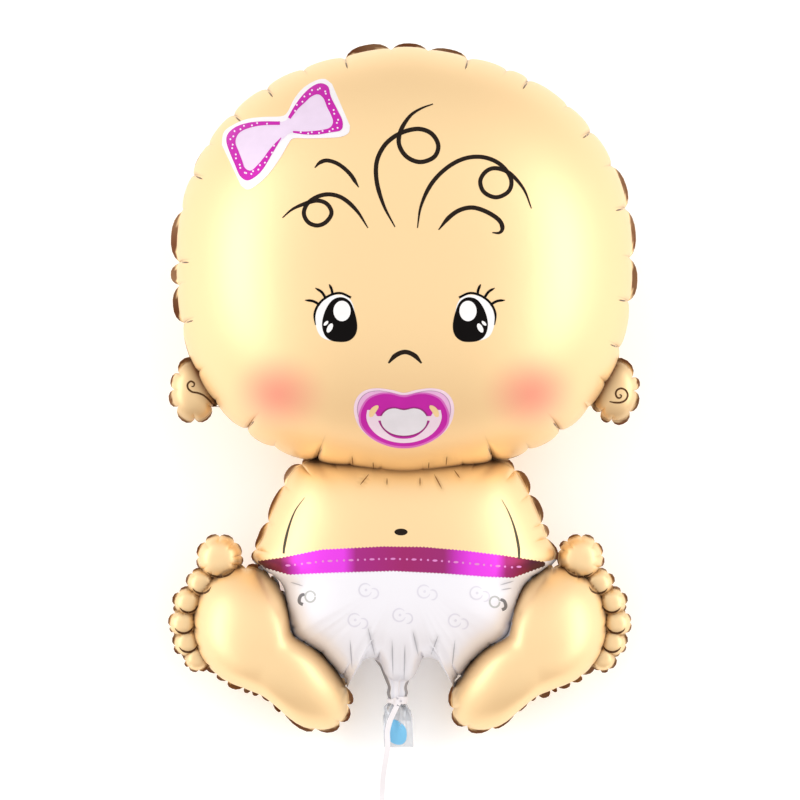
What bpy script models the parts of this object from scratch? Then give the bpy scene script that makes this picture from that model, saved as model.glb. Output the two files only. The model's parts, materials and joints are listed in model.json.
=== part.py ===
"""A foil balloon in the shape of a sitting baby, full of gas, lying on its back.

Each chamber of the balloon is two foil sheets welded along a flat seam, so the chambers are drawn in one seam
plane: X across, Y towards the head, Z out of the face, with Y = 0 at the neck. The seam plane is an empty, tilted
so that the balloon rests on the backs of its head and feet. The free end of the curling ribbon lies on the floor.
"""

import bpy
import bmesh
import math
import numpy as np
from mathutils import Vector

# Sizes in metres. Head.
HEAD_WIDTH = 0.524
HEAD_CROWN = 0.237  # from the middle of the head up to its crown
HEAD_CHIN = 0.241  # and down to its chin
HEAD_DEPTH = 0.300
CROWN_SQUARENESS = 2.2  # exponent of the crown's superellipse, 2 for an ellipse
CHIN_SQUARENESS = 2.55
CHIN_OVERHANG = 0.010  # how far the chin reaches over the neck line

# Ears, on the head's seam.
EAR_WIDTH = 0.061
EAR_HEIGHT = 0.080
EAR_DEPTH = 0.034
EAR_ANGLE = math.radians(-32.4)  # below the head's middle
EAR_PROUD = 0.007  # the ear's middle past the head's rim

# Torso with the nappy. The outline's points are shares of its half width and half length.
TORSO_WIDTH = 0.348
TORSO_LENGTH = 0.266
TORSO_DEPTH = 0.138
SHOULDERS_UNDER_CHIN = 0.015  # the torso's top past the neck line
TORSO_OUTLINE = (
    (0.00, 1.00), (0.54, 0.96), (0.70, 0.89), (0.85, 0.59), (0.95, 0.26), (1.00, 0.07),
    (0.93, -0.03), (0.85, -0.11), (0.78, -0.37), (0.71, -0.62), (0.56, -0.74), (0.45, -0.88),
    (0.35, -0.99), (0.27, -0.95), (0.19, -0.84), (0.10, -0.89), (0.00, -0.97),
)

# Feet. Outline and toes are shares of the foot's length, along it from the heel's middle and across it outwards.
FOOT_LENGTH = 0.228
FOOT_DEPTH = 0.116
FOOT_TURN = math.radians(42.6)  # toes out from the body's length
HEEL_SPACING = 0.185
HEEL_BELOW_TORSO = 0.018  # the heels' middles below the torso's end
FEET_SHIFT = -0.005  # both feet hang a little to one side
FOOT_OUTLINE = (
    (0.82, 0.00), (0.74, 0.18), (0.58, 0.29), (0.43, 0.30), (0.27, 0.24), (0.09, 0.18), (-0.10, 0.13),
    (-0.18, -0.01), (-0.11, -0.13), (0.04, -0.18), (0.22, -0.18), (0.37, -0.175), (0.52, -0.25), (0.66, -0.25),
)
FOOT_MIDDLE = (0.33, 0.02)
TOES = (  # along, across, radius
    (0.850, -0.118, 0.108), (0.818, 0.034, 0.068), (0.792, 0.146, 0.068), (0.732, 0.233, 0.068),
    (0.648, 0.282, 0.066), (0.558, 0.300, 0.060),
)
TOE_FLATNESS = 0.8

# Seam, filling neck and tail.
SEAM_WIDTH = 0.005
SEAM_THICKNESS = 0.0012
PUCKER = 0.004  # how deep the puckers bite into the rim
NECK_RADIUS = 0.009  # where the ribbon ties it
NECK_SHIFT = -0.008  # the filling neck sits a little to one side
NECK_ROOT = 0.032  # half its width where it leaves the nappy
NECK_ROOT_THICKNESS = 0.028
NECK_SUNK = 0.030  # how far up inside the nappy it starts
NECK_GATHER = 0.006  # from the nappy's edge up to where its pleats close in
NECK_GATHER_THICKNESS = 0.022
NECK_LENGTH = 0.018  # from the nappy's edge to the knot
TAIL_WIDTH = 0.033
TAIL_LENGTH = 0.053
TAIL_THICKNESS = 0.002
TAIL_FLARE = 0.012  # below the knot the tail has spread to most of its width
TAIL_FLARE_THICKNESS = 0.006
TAIL_SPREAD = 0.020  # and here to all of it
REST_FLAT = 0.002  # how much of each back is pressed flat by the floor

# Curling ribbon.
RIBBON_WIDTH = 0.006
GAP = 0.0004  # between neighbouring pieces
KNOT_CORD = 0.0044  # thickness of the turns round the neck
KNOT_SIZE = 0.008
COIL_TURNS = 5
COIL_PITCH = 0.0025  # each turn lies outside the last
COIL_MEAN_DIAMETER = 0.066
COIL_MIDDLE = (0.012, -0.490)
RIBBON_ROUTE = (  # from the balloon's origin on the floor: the knot, over the tail, down to the floor, the coil
    (-0.0085, -0.3402, 0.0598), (-0.0140, -0.3514, 0.0533), (-0.0190, -0.3652, 0.0466), (-0.0190, -0.3836, 0.0419),
    (-0.0215, -0.4001, 0.0331), (-0.0243, -0.4174, 0.0193), (-0.0253, -0.4347, 0.0058), (-0.0258, -0.4500, 0.0036),
    (-0.0260, -0.4680, 0.0036),
)


def material(name, colour, roughness, metallic):
    """A plain Principled material."""
    made = bpy.data.materials.new(name)
    made.use_nodes = True
    shader = made.node_tree.nodes["Principled BSDF"]
    shader.inputs["Base Color"].default_value = (*colour, 1.0)
    shader.inputs["Roughness"].default_value = roughness
    shader.inputs["Metallic"].default_value = metallic
    return made


def collection(name, parent):
    """A new collection under `parent`."""
    made = bpy.data.collections.new(name)
    parent.children.link(made)
    return made


def put(name, mesh, where, finish=None):
    """A new object with this mesh, in the collection `where`."""
    made = bpy.data.objects.new(name, mesh)
    if finish:
        mesh.materials.append(finish)
    where.objects.link(made)
    return made


def as_tool(obj):
    """Mark a piece that only shapes another one."""
    obj.hide_render = True
    obj.display_type = "WIRE"
    return obj


# Outlines: each gives the distance from a chamber's middle to its rim, for an array of angles.


def oval(half_width, up, down, squareness_up=2.0, squareness_down=2.0):
    """A superellipse whose upper and lower halves have their own height and exponent."""

    def reach(angle):
        c, s = np.abs(np.cos(angle)), np.abs(np.sin(angle))
        upper = (c / half_width) ** squareness_up + (s / up) ** squareness_up
        lower = (c / half_width) ** squareness_down + (s / down) ** squareness_down
        return np.where(np.sin(angle) > 0, upper ** (-1 / squareness_up), lower ** (-1 / squareness_down))

    return reach


def rounded(points):
    """A smooth closed curve through points given around the middle, as a Catmull-Rom spline of the distance."""
    points = np.array(points)
    angles = np.arctan2(points[:, 1], points[:, 0])
    order = np.argsort(angles)
    angles, far = angles[order], np.hypot(*points[order].T)
    turn = 2 * math.pi
    angles = np.concatenate([angles[-2:] - turn, angles, angles[:2] + turn])
    far = np.concatenate([far[-2:], far, far[:2]])
    slope = np.gradient(far, angles)

    def reach(angle):
        angle = (angle - angles[2]) % turn + angles[2]
        k = np.clip(np.searchsorted(angles, angle, side="right") - 1, 0, len(angles) - 2)
        span = angles[k + 1] - angles[k]
        t = (angle - angles[k]) / span
        return (
            (2 * t**3 - 3 * t**2 + 1) * far[k]
            + (t**3 - 2 * t**2 + t) * span * slope[k]
            + (3 * t**2 - 2 * t**3) * far[k + 1]
            + (t**3 - t**2) * span * slope[k + 1]
        )

    return reach


def foil_chamber(name, reach, half_depth, segments, rings, cusps, where):
    """A pillow of two welded sheets: a sphere whose rings are moved to a seamed rim and a domed middle.

    The dome is half_depth * sqrt(1 - s^3) at the share s of the way to the seam, which is close to how foil
    fills. Rings near the rim follow its outline and rings near the middle a rounder one. The rim bites inwards
    at each cusp, and the bite fades towards the middle.
    """
    bm = bmesh.new()
    bmesh.ops.create_uvsphere(bm, u_segments=segments, v_segments=2 * rings + 1, radius=1.0)
    mesh = bpy.data.meshes.new(name)
    bm.to_mesh(mesh)
    bm.free()
    at = np.empty(3 * len(mesh.vertices))
    mesh.vertices.foreach_get("co", at)
    x, y, z = at.reshape(-1, 3).T
    angle = np.arctan2(y, x)
    ring = np.rint(np.arccos(np.minimum(np.abs(z), 1)) * (2 * rings + 1) / math.pi)
    bend = np.minimum(ring / (rings - 1), 1) * math.pi / 2
    share = np.sin(bend) ** (2 / 3)
    height = np.where(ring < rings - 1, half_depth * np.cos(bend), SEAM_THICKNESS / 2)
    bite = PUCKER * (1 - np.abs(np.sin(cusps * angle / 2))) * share**4
    rim = reach(angle)
    core = np.mean([reach(angle + turn) for turn in np.linspace(-0.6, 0.6, 13)], axis=0)
    far = np.where(ring < rings, share * (core + (rim - core) * share**3 - SEAM_WIDTH), rim) - bite
    at = np.stack([far * np.cos(angle), far * np.sin(angle), np.sign(z) * height], axis=1)
    mesh.vertices.foreach_set("co", at.ravel())
    mesh.shade_smooth()
    return put(name, mesh, where)


def placed(obj, parent, location, turn=0.0):
    """Put a chamber on the seam plane."""
    obj.parent = parent
    obj.location = location
    obj.rotation_euler.z = turn
    return obj


def head_middle():
    return Vector((0, HEAD_CHIN - CHIN_OVERHANG, 0))


def torso_end():
    """Y of the nappy's lower edge on the seam plane."""
    return SHOULDERS_UNDER_CHIN - TORSO_LENGTH


def build_head(plane, where):
    """The head, about eight tenths of the balloon's volume."""
    reach = oval(HEAD_WIDTH / 2, HEAD_CROWN, HEAD_CHIN, CROWN_SQUARENESS, CHIN_SQUARENESS)
    head = foil_chamber("foil_envelope", reach, HEAD_DEPTH / 2, 84, 8, 28, where)
    return placed(head, plane, head_middle()), reach


def build_ears(plane, head_reach, where):
    """Two small chambers on the head's rim."""
    for side in (-1, 1):
        ear = foil_chamber("ear", oval(EAR_WIDTH / 2, EAR_HEIGHT / 2, EAR_HEIGHT / 2), EAR_DEPTH / 2, 24, 4, 8, where)
        out = float(head_reach(np.array([EAR_ANGLE]))[0]) + EAR_PROUD
        place = head_middle() + out * Vector((side * math.cos(EAR_ANGLE), math.sin(EAR_ANGLE), 0))
        placed(as_tool(ear), plane, place)


def build_torso(plane, where):
    """Chest, belly and nappy are one chamber."""
    half = np.array([TORSO_WIDTH / 2, TORSO_LENGTH / 2])
    right = np.array(TORSO_OUTLINE) * half
    left = right[1:-1] * (-1, 1)
    torso = foil_chamber("torso", rounded([*right, *left]), TORSO_DEPTH / 2, 60, 6, 20, where)
    placed(as_tool(torso), plane, (0, SHOULDERS_UNDER_CHIN - half[1], 0))


def build_foot(side, plane, where):
    """A foot and its toes; side is -1 on the left of the face and 1 on its right."""
    middle = np.array(FOOT_MIDDLE)
    flip = np.array([1, -side])  # outwards is -Y on the right foot's own axes
    outline = (np.array(FOOT_OUTLINE) - middle) * FOOT_LENGTH * flip
    turn = math.pi / 2 - side * FOOT_TURN
    heel = Vector((FEET_SHIFT + side * HEEL_SPACING / 2, torso_end() - HEEL_BELOW_TORSO, 0))

    def on_plane(along, across):
        c, s = math.cos(turn), math.sin(turn)
        u, v = along * FOOT_LENGTH, -side * across * FOOT_LENGTH
        return heel + Vector((u * c - v * s, u * s + v * c, 0))

    sole = foil_chamber("foot", rounded(outline), FOOT_DEPTH / 2, 36, 5, 12, where)
    placed(as_tool(sole), plane, on_plane(*FOOT_MIDDLE), turn)
    for along, across, radius in TOES:
        bm = bmesh.new()
        bmesh.ops.create_uvsphere(bm, u_segments=10, v_segments=8, radius=radius * FOOT_LENGTH)
        bmesh.ops.scale(bm, vec=(1, 1, TOE_FLATNESS), verts=bm.verts)
        mesh = bpy.data.meshes.new("toe")
        bm.to_mesh(mesh)
        bm.free()
        mesh.shade_smooth()
        placed(as_tool(put("toe", mesh, where)), plane, on_plane(along, across), turn)
    return sole


def build_tail(plane, where):
    """The filling neck, gathered at the knot, and the flat tail: a loft of ovals down the seam plane."""
    edge = torso_end()
    knot = edge - NECK_LENGTH
    sections = (  # Y, half width, half thickness
        (edge + NECK_SUNK, NECK_ROOT, NECK_ROOT_THICKNESS / 2),
        (edge + NECK_GATHER, (NECK_ROOT + NECK_RADIUS) / 2, NECK_GATHER_THICKNESS / 2),
        (knot + KNOT_CORD, NECK_RADIUS, NECK_RADIUS),
        (knot - KNOT_CORD, NECK_RADIUS, NECK_RADIUS),
        (knot - KNOT_CORD - TAIL_FLARE, TAIL_WIDTH * 0.42, TAIL_FLARE_THICKNESS / 2),
        (knot - KNOT_CORD - TAIL_SPREAD, TAIL_WIDTH / 2, TAIL_THICKNESS / 2),
        (knot - TAIL_LENGTH, TAIL_WIDTH / 2, TAIL_THICKNESS / 2),
    )
    sides = 16
    bm = bmesh.new()
    bmesh.ops.create_cone(bm, cap_ends=True, segments=sides, radius1=1, radius2=1, depth=1)
    first = [v for v in bm.verts if v.co.z < 0]
    for v in bm.verts:
        v.co = Vector((v.co.x, 0 if v in first else 1, v.co.y))
    long_edges = [e for e in bm.edges if abs(e.verts[0].co.y - e.verts[1].co.y) > 0.5]
    bmesh.ops.subdivide_edges(bm, edges=long_edges, cuts=len(sections) - 2)
    for v in bm.verts:
        y, wide, thick = sections[round(v.co.y * (len(sections) - 1))]
        round_off = 1.0 if thick > TAIL_THICKNESS else 0.5  # a flat section is squarer than an oval
        v.co = Vector((
            NECK_SHIFT + wide * math.copysign(abs(v.co.x) ** round_off, v.co.x),
            y,
            thick * math.copysign(abs(v.co.z) ** round_off, v.co.z),
        ))
    bmesh.ops.recalc_face_normals(bm, faces=bm.faces)
    mesh = bpy.data.meshes.new("tail")
    bm.to_mesh(mesh)
    bm.free()
    mesh.set_sharp_from_angle(angle=math.radians(50))
    placed(as_tool(put("tail", mesh, where)), plane, (0, 0, 0))
    return Vector((NECK_SHIFT, knot, 0))


def on_seam_plane(obj):
    """A chamber's points on the seam plane, as an array."""
    at = np.empty(3 * len(obj.data.vertices))
    obj.data.vertices.foreach_get("co", at)
    c, s = math.cos(obj.rotation_euler.z), math.sin(obj.rotation_euler.z)
    turn = np.array([[c, -s, 0], [s, c, 0], [0, 0, 1]])
    return at.reshape(-1, 3) @ turn.T + np.array(obj.location)


def lay_down(plane, head, feet, others):
    """Tilt the seam plane until the head's back and the feet's backs touch the floor, and centre it over them."""

    def lowest(points, tilt):
        return (points[:, 1] * math.sin(tilt) + points[:, 2] * math.cos(tilt)).min()

    head_points = on_seam_plane(head)
    foot_points = np.concatenate([on_seam_plane(foot) for foot in feet])
    low, high = 0.0, math.radians(60)
    for _ in range(40):
        tilt = (low + high) / 2
        if lowest(head_points, tilt) < lowest(foot_points, tilt):
            low = tilt
        else:
            high = tilt
    every = np.concatenate([head_points, foot_points, *(on_seam_plane(other) for other in others)])
    across = every[:, 1] * math.cos(tilt) - every[:, 2] * math.sin(tilt)
    plane.rotation_euler.x = tilt
    plane.location = (
        -(every[:, 0].min() + every[:, 0].max()) / 2,
        -(across.min() + across.max()) / 2,
        -lowest(head_points, tilt) - REST_FLAT,
    )


def weld(envelope, chambers, cutters):
    """Join all chambers into one envelope and press its backs flat on the floor."""
    union = envelope.modifiers.new("weld chambers", "BOOLEAN")
    union.operand_type = "COLLECTION"
    union.collection = chambers
    union.operation = "UNION"
    union.solver = "EXACT"
    bm = bmesh.new()
    bmesh.ops.create_cube(bm, size=2 * (HEAD_WIDTH + HEAD_CROWN + TORSO_LENGTH))
    mesh = bpy.data.meshes.new("floor_block")
    bm.to_mesh(mesh)
    bm.free()
    block = as_tool(put("floor_block", mesh, cutters))
    block.location.z = -(HEAD_WIDTH + HEAD_CROWN + TORSO_LENGTH)
    press = envelope.modifiers.new("floor", "BOOLEAN")
    press.object = block
    press.operation = "DIFFERENCE"
    press.solver = "EXACT"


def build_knot(plane, knot, where, cutters, finish):
    """The ribbon's turns round the filling neck, with the knot on the face's side."""
    bpy.ops.mesh.primitive_torus_add(
        major_segments=24, minor_segments=6, major_radius=NECK_RADIUS + GAP + KNOT_CORD / 2, minor_radius=KNOT_CORD / 2
    )
    ring = bpy.context.object
    ring.name = "ribbon_knot"
    for old in ring.users_collection:
        old.objects.unlink(ring)
    where.objects.link(ring)
    ring.data.materials.append(finish)
    ring.data.shade_smooth()
    ring.parent = plane
    ring.location = knot
    ring.rotation_euler.x = math.radians(90)
    bm = bmesh.new()
    bmesh.ops.create_uvsphere(bm, u_segments=12, v_segments=8, radius=KNOT_SIZE / 2)
    mesh = bpy.data.meshes.new("knot_lump")
    bm.to_mesh(mesh)
    bm.free()
    mesh.shade_smooth()
    lump = placed(as_tool(put("knot_lump", mesh, cutters)), plane, knot + Vector((0, 0, NECK_RADIUS + GAP + KNOT_CORD)))
    join = ring.modifiers.new("knot", "BOOLEAN")
    join.object = lump
    join.operation = "UNION"
    join.solver = "EXACT"


def smooth_route(points, step):
    """Points about `step` apart on a Catmull-Rom curve through the route."""
    points = [2 * points[0] - points[1], *points, 2 * points[-1] - points[-2]]
    out = []
    for before, a, b, after in zip(points, points[1:], points[2:], points[3:]):
        count = max(1, round((b - a).length / step))
        for k in range(count):
            t = k / count
            out.append(
                0.5 * (2 * a + (b - before) * t + (2 * before - 5 * a + 4 * b - after) * t**2
                       + (3 * a - before - 3 * b + after) * t**3)
            )
    return [*out, points[-2]]


def build_ribbon(where, finish):
    """The ribbon's free length as a round tube as wide as the ribbon."""
    route = smooth_route([Vector(p) for p in RIBBON_ROUTE], 2.2 * RIBBON_WIDTH)
    curve = bpy.data.curves.new("ribbon", "CURVE")
    curve.dimensions = "3D"
    curve.bevel_depth = RIBBON_WIDTH / 2
    curve.bevel_resolution = 2
    curve.use_fill_caps = True
    line = curve.splines.new("POLY")
    line.points.add(len(route) - 1)
    for point, at in zip(line.points, route):
        point.co = (*at, 1.0)
    put("ribbon", curve, where, finish)


def build_coil(where, finish):
    """The outer shape of the wound-up ribbon: a ring turned from an oval as high as the ribbon is wide."""
    wide = (COIL_TURNS - 1) * COIL_PITCH / 2 + COIL_PITCH
    high = RIBBON_WIDTH / 2
    bm = bmesh.new()
    sides = 8
    loop = [
        bm.verts.new((COIL_MEAN_DIAMETER / 2 + wide * math.cos(-a), 0, high * math.sin(-a)))
        for a in (2 * math.pi * k / sides for k in range(sides))
    ]
    for a, b in zip(loop, loop[1:] + loop[:1]):
        bm.edges.new((a, b))
    mesh = bpy.data.meshes.new("ribbon_coil")
    bm.to_mesh(mesh)
    bm.free()
    coil = put("ribbon_coil", mesh, where, finish)
    coil.location = (*COIL_MIDDLE, high + GAP)
    turn = coil.modifiers.new("turn", "SCREW")
    turn.angle = 2 * math.pi
    turn.steps = turn.render_steps = 24
    turn.use_merge_vertices = True
    turn.merge_threshold = 0.00001
    turn.use_normal_calculate = True


def main():
    for old in list(bpy.data.objects):
        bpy.data.objects.remove(old, do_unlink=True)
    scene = bpy.context.scene.collection
    balloon = collection("foil_balloon", scene)
    chambers = collection("chambers", scene)
    cutters = collection("cutters", scene)
    foil = material("peach_foil", (0.94, 0.67, 0.42), 0.28, 0.85)
    ribbon_film = material("curling_ribbon", (0.93, 0.84, 0.84), 0.35, 0.0)

    plane = bpy.data.objects.new("seam_plane", None)
    balloon.objects.link(plane)
    head, head_reach = build_head(plane, balloon)
    head.data.materials.append(foil)
    build_ears(plane, head_reach, chambers)
    build_torso(plane, chambers)
    feet = [build_foot(side, plane, chambers) for side in (-1, 1)]
    knot = build_tail(plane, chambers)
    others = [obj for obj in chambers.objects if obj not in feet]
    lay_down(plane, head, feet, others)
    weld(head, chambers, cutters)
    build_knot(plane, knot, balloon, cutters, ribbon_film)
    build_ribbon(balloon, ribbon_film)
    build_coil(balloon, ribbon_film)
    bpy.context.view_layer.update()


main()
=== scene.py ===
"""Dress the frame of a foil balloon shaped like a sitting baby.

The balloon lies on its back. Its chambers and its prints are worked out on the flat plane of its seam, with
X to the right of the printed face, Y towards the head and Z out of the face, and Y = 0 at the neck. The
frame's tail mount says how that plane is tilted. Prints are drawn where the photograph shows them and draped
over the foil.
"""

import json
import math

import bmesh
import bpy
import numpy as np
from mathutils import Matrix, Vector


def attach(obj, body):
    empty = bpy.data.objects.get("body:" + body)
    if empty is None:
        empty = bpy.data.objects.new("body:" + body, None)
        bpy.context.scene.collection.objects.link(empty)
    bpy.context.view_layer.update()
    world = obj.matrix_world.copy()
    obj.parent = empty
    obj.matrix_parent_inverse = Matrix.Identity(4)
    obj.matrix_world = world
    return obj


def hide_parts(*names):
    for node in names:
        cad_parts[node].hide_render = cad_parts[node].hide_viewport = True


bl_info = {
    "name": "Foil Balloon",
    "version": (1, 0, 0),
    "blender": (4, 5, 0),
    "location": "View3D > Sidebar > Balloon",
    "description": "Builds a printed foil balloon of a sitting baby on its packed frame",
    "category": "Object",
}

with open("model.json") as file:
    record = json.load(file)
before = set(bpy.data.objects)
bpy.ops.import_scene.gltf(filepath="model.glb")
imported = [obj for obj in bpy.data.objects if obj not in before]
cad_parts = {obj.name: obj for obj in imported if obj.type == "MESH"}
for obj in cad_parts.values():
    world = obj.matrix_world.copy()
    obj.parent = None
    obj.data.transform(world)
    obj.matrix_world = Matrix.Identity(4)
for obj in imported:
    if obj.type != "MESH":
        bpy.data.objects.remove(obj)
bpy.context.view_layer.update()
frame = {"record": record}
CIRCLE = 2 * math.pi

# The seam plane, from the mount on the tail's front face.
TAIL_MOUNT = next(m for m in frame["record"]["mounts"] if m["name"] == "tail_face")
TAIL_FACE = Vector((-0.008, -0.305, 0.001))  # that mount's place on the seam plane
TILT = math.atan2(-TAIL_MOUNT["axis"][1], TAIL_MOUNT["axis"][2])
PLANE = Matrix.Rotation(TILT, 4, "X")
PLANE.translation = Vector(TAIL_MOUNT["pos_m"]) - PLANE.to_3x3() @ TAIL_FACE

# The photograph's own frame.
PIXEL = 0.00113  # metres on the seam plane
FACE_AXIS = 404.5  # pixel column of the head's middle
NECK_ROW = 462.0
FRAME_SIDE = 800

# Chambers, in metres and in shares, as in the frame's source.
HEAD_WIDTH, HEAD_CROWN, HEAD_CHIN, HEAD_DEPTH = 0.524, 0.237, 0.241, 0.300
CHIN_ROLL = 0.004  # how far the chin rolls over the neck past its seam
CROWN_PEAK, CHIN_PEAK, PEAK_SPREAD = 0.0050, 0.0075, 0.19
CROWN_SQUARENESS, CHIN_SQUARENESS, CHIN_OVERHANG = 2.2, 2.55, 0.010
EAR_WIDTH, EAR_HEIGHT, EAR_DEPTH, EAR_PROUD = 0.061, 0.080, 0.034, 0.007
EAR_ANGLE = math.radians(-32.4)
TORSO_WIDTH, TORSO_LENGTH, TORSO_DEPTH, SHOULDERS_UNDER_CHIN = 0.348, 0.266, 0.138, 0.015
TORSO_OUTLINE = (
    (0.00, 1.00), (0.54, 0.96), (0.70, 0.89), (0.85, 0.59), (0.95, 0.26), (1.00, 0.07),
    (0.93, -0.03), (0.85, -0.11), (0.78, -0.37), (0.71, -0.62), (0.56, -0.74), (0.45, -0.88),
    (0.36, -1.00), (0.325, -1.00), (0.29, -0.91), (0.235, -0.825), (0.18, -0.82), (0.13, -0.87),
    (0.10, -0.95), (0.00, -1.02),
)
LEAN = -0.0045  # how far the nappy's lower end stands left of the face's axis
LEAN_FROM, LEAN_OVER = -0.11, 0.11  # Y of the navel's height, and the length over which the lean grows
FOOT_LENGTH, FOOT_DEPTH, FOOT_TURN = 0.228, 0.116, math.radians(42.6)
HEEL_SPACING, HEEL_BELOW_TORSO, FEET_SHIFT = 0.185, 0.018, -0.005
FOOT_OUTLINE = (
    (0.82, 0.00), (0.74, 0.18), (0.58, 0.29), (0.43, 0.30), (0.27, 0.24), (0.09, 0.18), (-0.10, 0.13),
    (-0.18, -0.01), (-0.11, -0.13), (0.04, -0.18), (0.22, -0.18), (0.37, -0.175), (0.52, -0.25),
    (0.66, -0.25),
)
FOOT_MIDDLE = (0.33, 0.02)
TOES = (  # along, across, radius
    (0.850, -0.118, 0.108), (0.818, 0.034, 0.068), (0.792, 0.146, 0.068), (0.732, 0.233, 0.068),
    (0.648, 0.282, 0.066), (0.558, 0.300, 0.060),
)
TOE_FLATNESS = 0.8
BIG_TOE_OVER = 0.1  # a toe of a larger radius is the big toe
TORSO_END = SHOULDERS_UNDER_CHIN - TORSO_LENGTH
NECK_RADIUS, NECK_SHIFT, NECK_LENGTH = 0.009, -0.008, 0.018
KNOT_Y = TORSO_END - NECK_LENGTH
TAIL_WIDTH, TAIL_LENGTH = 0.033, 0.053

# The ribbon, as in the frame's source: its route from the knot to the coil, and the coil.
RIBBON_WIDTH = 0.006
RIBBON_THICKNESS = 0.0004
RIBBON_ROUTE = (
    (-0.0085, -0.3402, 0.0598), (-0.0140, -0.3514, 0.0533), (-0.0190, -0.3652, 0.0466),
    (-0.0190, -0.3836, 0.0419), (-0.0215, -0.4001, 0.0331), (-0.0243, -0.4174, 0.0193),
    (-0.0253, -0.4347, 0.0058), (-0.0258, -0.4500, 0.0036), (-0.0260, -0.4680, 0.0036),
)
COIL_MIDDLE = (0.012, -0.490)
COIL_TURNS, COIL_PITCH, COIL_MEAN_DIAMETER = 5, 0.0025, 0.066


# Settings.


def colour_setting(name, description, default):
    return bpy.props.FloatVectorProperty(
        name=name, description=description, subtype="COLOR", size=3, default=default
    )


def number_setting(name, description, default, **more):
    return bpy.props.FloatProperty(name=name, description=description, default=default, **more)


class FoilSettings(bpy.types.PropertyGroup):
    """Sizes and colours of the foil itself."""

    skin: colour_setting("Skin", "Colour of the skin print", (0.97, 0.71, 0.39))
    blush: colour_setting("Blush", "Colour of the cheeks", (0.93, 0.33, 0.25))
    nappy: colour_setting("Nappy", "Colour of the nappy print", (0.86, 0.85, 0.90))
    # painted shade: the colour that the foil takes deep in its creases, on its seam and down its puckers and
    # wrinkles
    crease: colour_setting("Crease", "Colour deep in the creases", (0.125, 0.037, 0.010))
    sheen: number_setting("Roughness", "Roughness of the satin foil", 0.46, subtype="FACTOR", min=0, max=1)
    pucker: number_setting("Puckers", "How deep the puckers bite into the rim", 0.0042, unit="LENGTH")
    seam: number_setting("Seam", "Width of the welded seam past the chambers", 0.0062, unit="LENGTH")


class PrintSettings(bpy.types.PropertyGroup):
    """Colours of the prints."""

    ink: colour_setting("Ink", "Colour of hair, nose and navel", (0.018, 0.011, 0.007))
    eye: colour_setting("Eye", "Colour of the pupils and lashes", (0.006, 0.005, 0.005))
    magenta: colour_setting("Magenta", "Colour of bow and dummy", (0.60, 0.026, 0.44))
    lilac: colour_setting("Lilac", "Colour inside the bow", (0.86, 0.72, 0.90))
    tag: colour_setting("Tag", "Colour of the plain patch on the tail", (0.22, 0.58, 0.88))


class RibbonSettings(bpy.types.PropertyGroup):
    """The curling ribbon."""

    colour: colour_setting("Ribbon", "Colour of the ribbon", (0.87, 0.84, 0.87))
    wraps: bpy.props.IntProperty(name="Wraps", description="Turns of ribbon round the neck", min=1, default=3)


class StageSettings(bpy.types.PropertyGroup):
    """Camera, floor and light."""

    distance: number_setting("Distance", "From the camera to the seam plane", 3.0, unit="LENGTH")
    softbox: number_setting("Softboxes", "Power of each softbox", 6.4)
    table: number_setting("Table", "Glow of the white table", 0.17)
    sky: number_setting("Sky", "Brightness of the white room", 0.96)


# Places.


def on_plane(columns, rows):
    """Pixels of the photograph as X and Y on the seam plane, seen straight on."""
    x, y = np.asarray(columns) - FACE_AXIS, NECK_ROW - np.asarray(rows)
    return np.stack([x * PIXEL, y * PIXEL], axis=-1)


def in_pixels(x, y):
    """A place on the seam plane as a pixel of the photograph."""
    return FACE_AXIS + x / PIXEL, NECK_ROW - y / PIXEL


def to_world(points):
    """Points on the seam plane's axes, as the frame has them."""
    turn, place = np.array(PLANE.to_3x3()), np.array(PLANE.translation)
    return points @ turn.T + place


CAMERA_AIM = on_plane(FRAME_SIDE / 2, FRAME_SIDE / 2)  # where the camera's axis meets the seam plane


# Outlines: each gives the distance from a chamber's middle to its rim, for an array of angles.


def oval(half_width, up, down, squareness_up=2.0, squareness_down=2.0):
    """A superellipse whose upper and lower halves have their own height and exponent."""

    def reach(angle):
        c, s = np.abs(np.cos(angle)), np.abs(np.sin(angle))
        upper = (c / half_width) ** squareness_up + (s / up) ** squareness_up
        lower = (c / half_width) ** squareness_down + (s / down) ** squareness_down
        return np.where(np.sin(angle) > 0, upper ** (-1 / squareness_up), lower ** (-1 / squareness_down))

    return reach


def rounded(points):
    """A smooth closed curve through points: a cubic Hermite curve of distance over angle."""
    points = np.array(points)
    angles = np.arctan2(points[:, 1], points[:, 0])
    order = np.argsort(angles)
    angles, far = angles[order], np.hypot(*points[order].T)
    angles = np.concatenate([angles[-2:] - CIRCLE, angles, angles[:2] + CIRCLE])
    far = np.concatenate([far[-2:], far, far[:2]])
    slope = np.gradient(far, angles)

    def reach(angle):
        angle = (angle - angles[2]) % CIRCLE + angles[2]
        k = np.clip(np.searchsorted(angles, angle, side="right") - 1, 0, len(angles) - 2)
        span = angles[k + 1] - angles[k]
        t = (angle - angles[k]) / span
        return (
            (2 * t**3 - 3 * t**2 + 1) * far[k]
            + (t**3 - 2 * t**2 + t) * span * slope[k]
            + (3 * t**2 - 2 * t**3) * far[k + 1]
            + (t**3 - t**2) * span * slope[k + 1]
        )

    return reach


PUCKER_SHIFT = 0.27  # how far a weak pucker strays, as a share of the gap between two
PUCKER_DEPTHS, PUCKER_LENGTHS = (0.55, 1.1), (0.6, 1.3)  # shares of the usual depth and length


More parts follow.
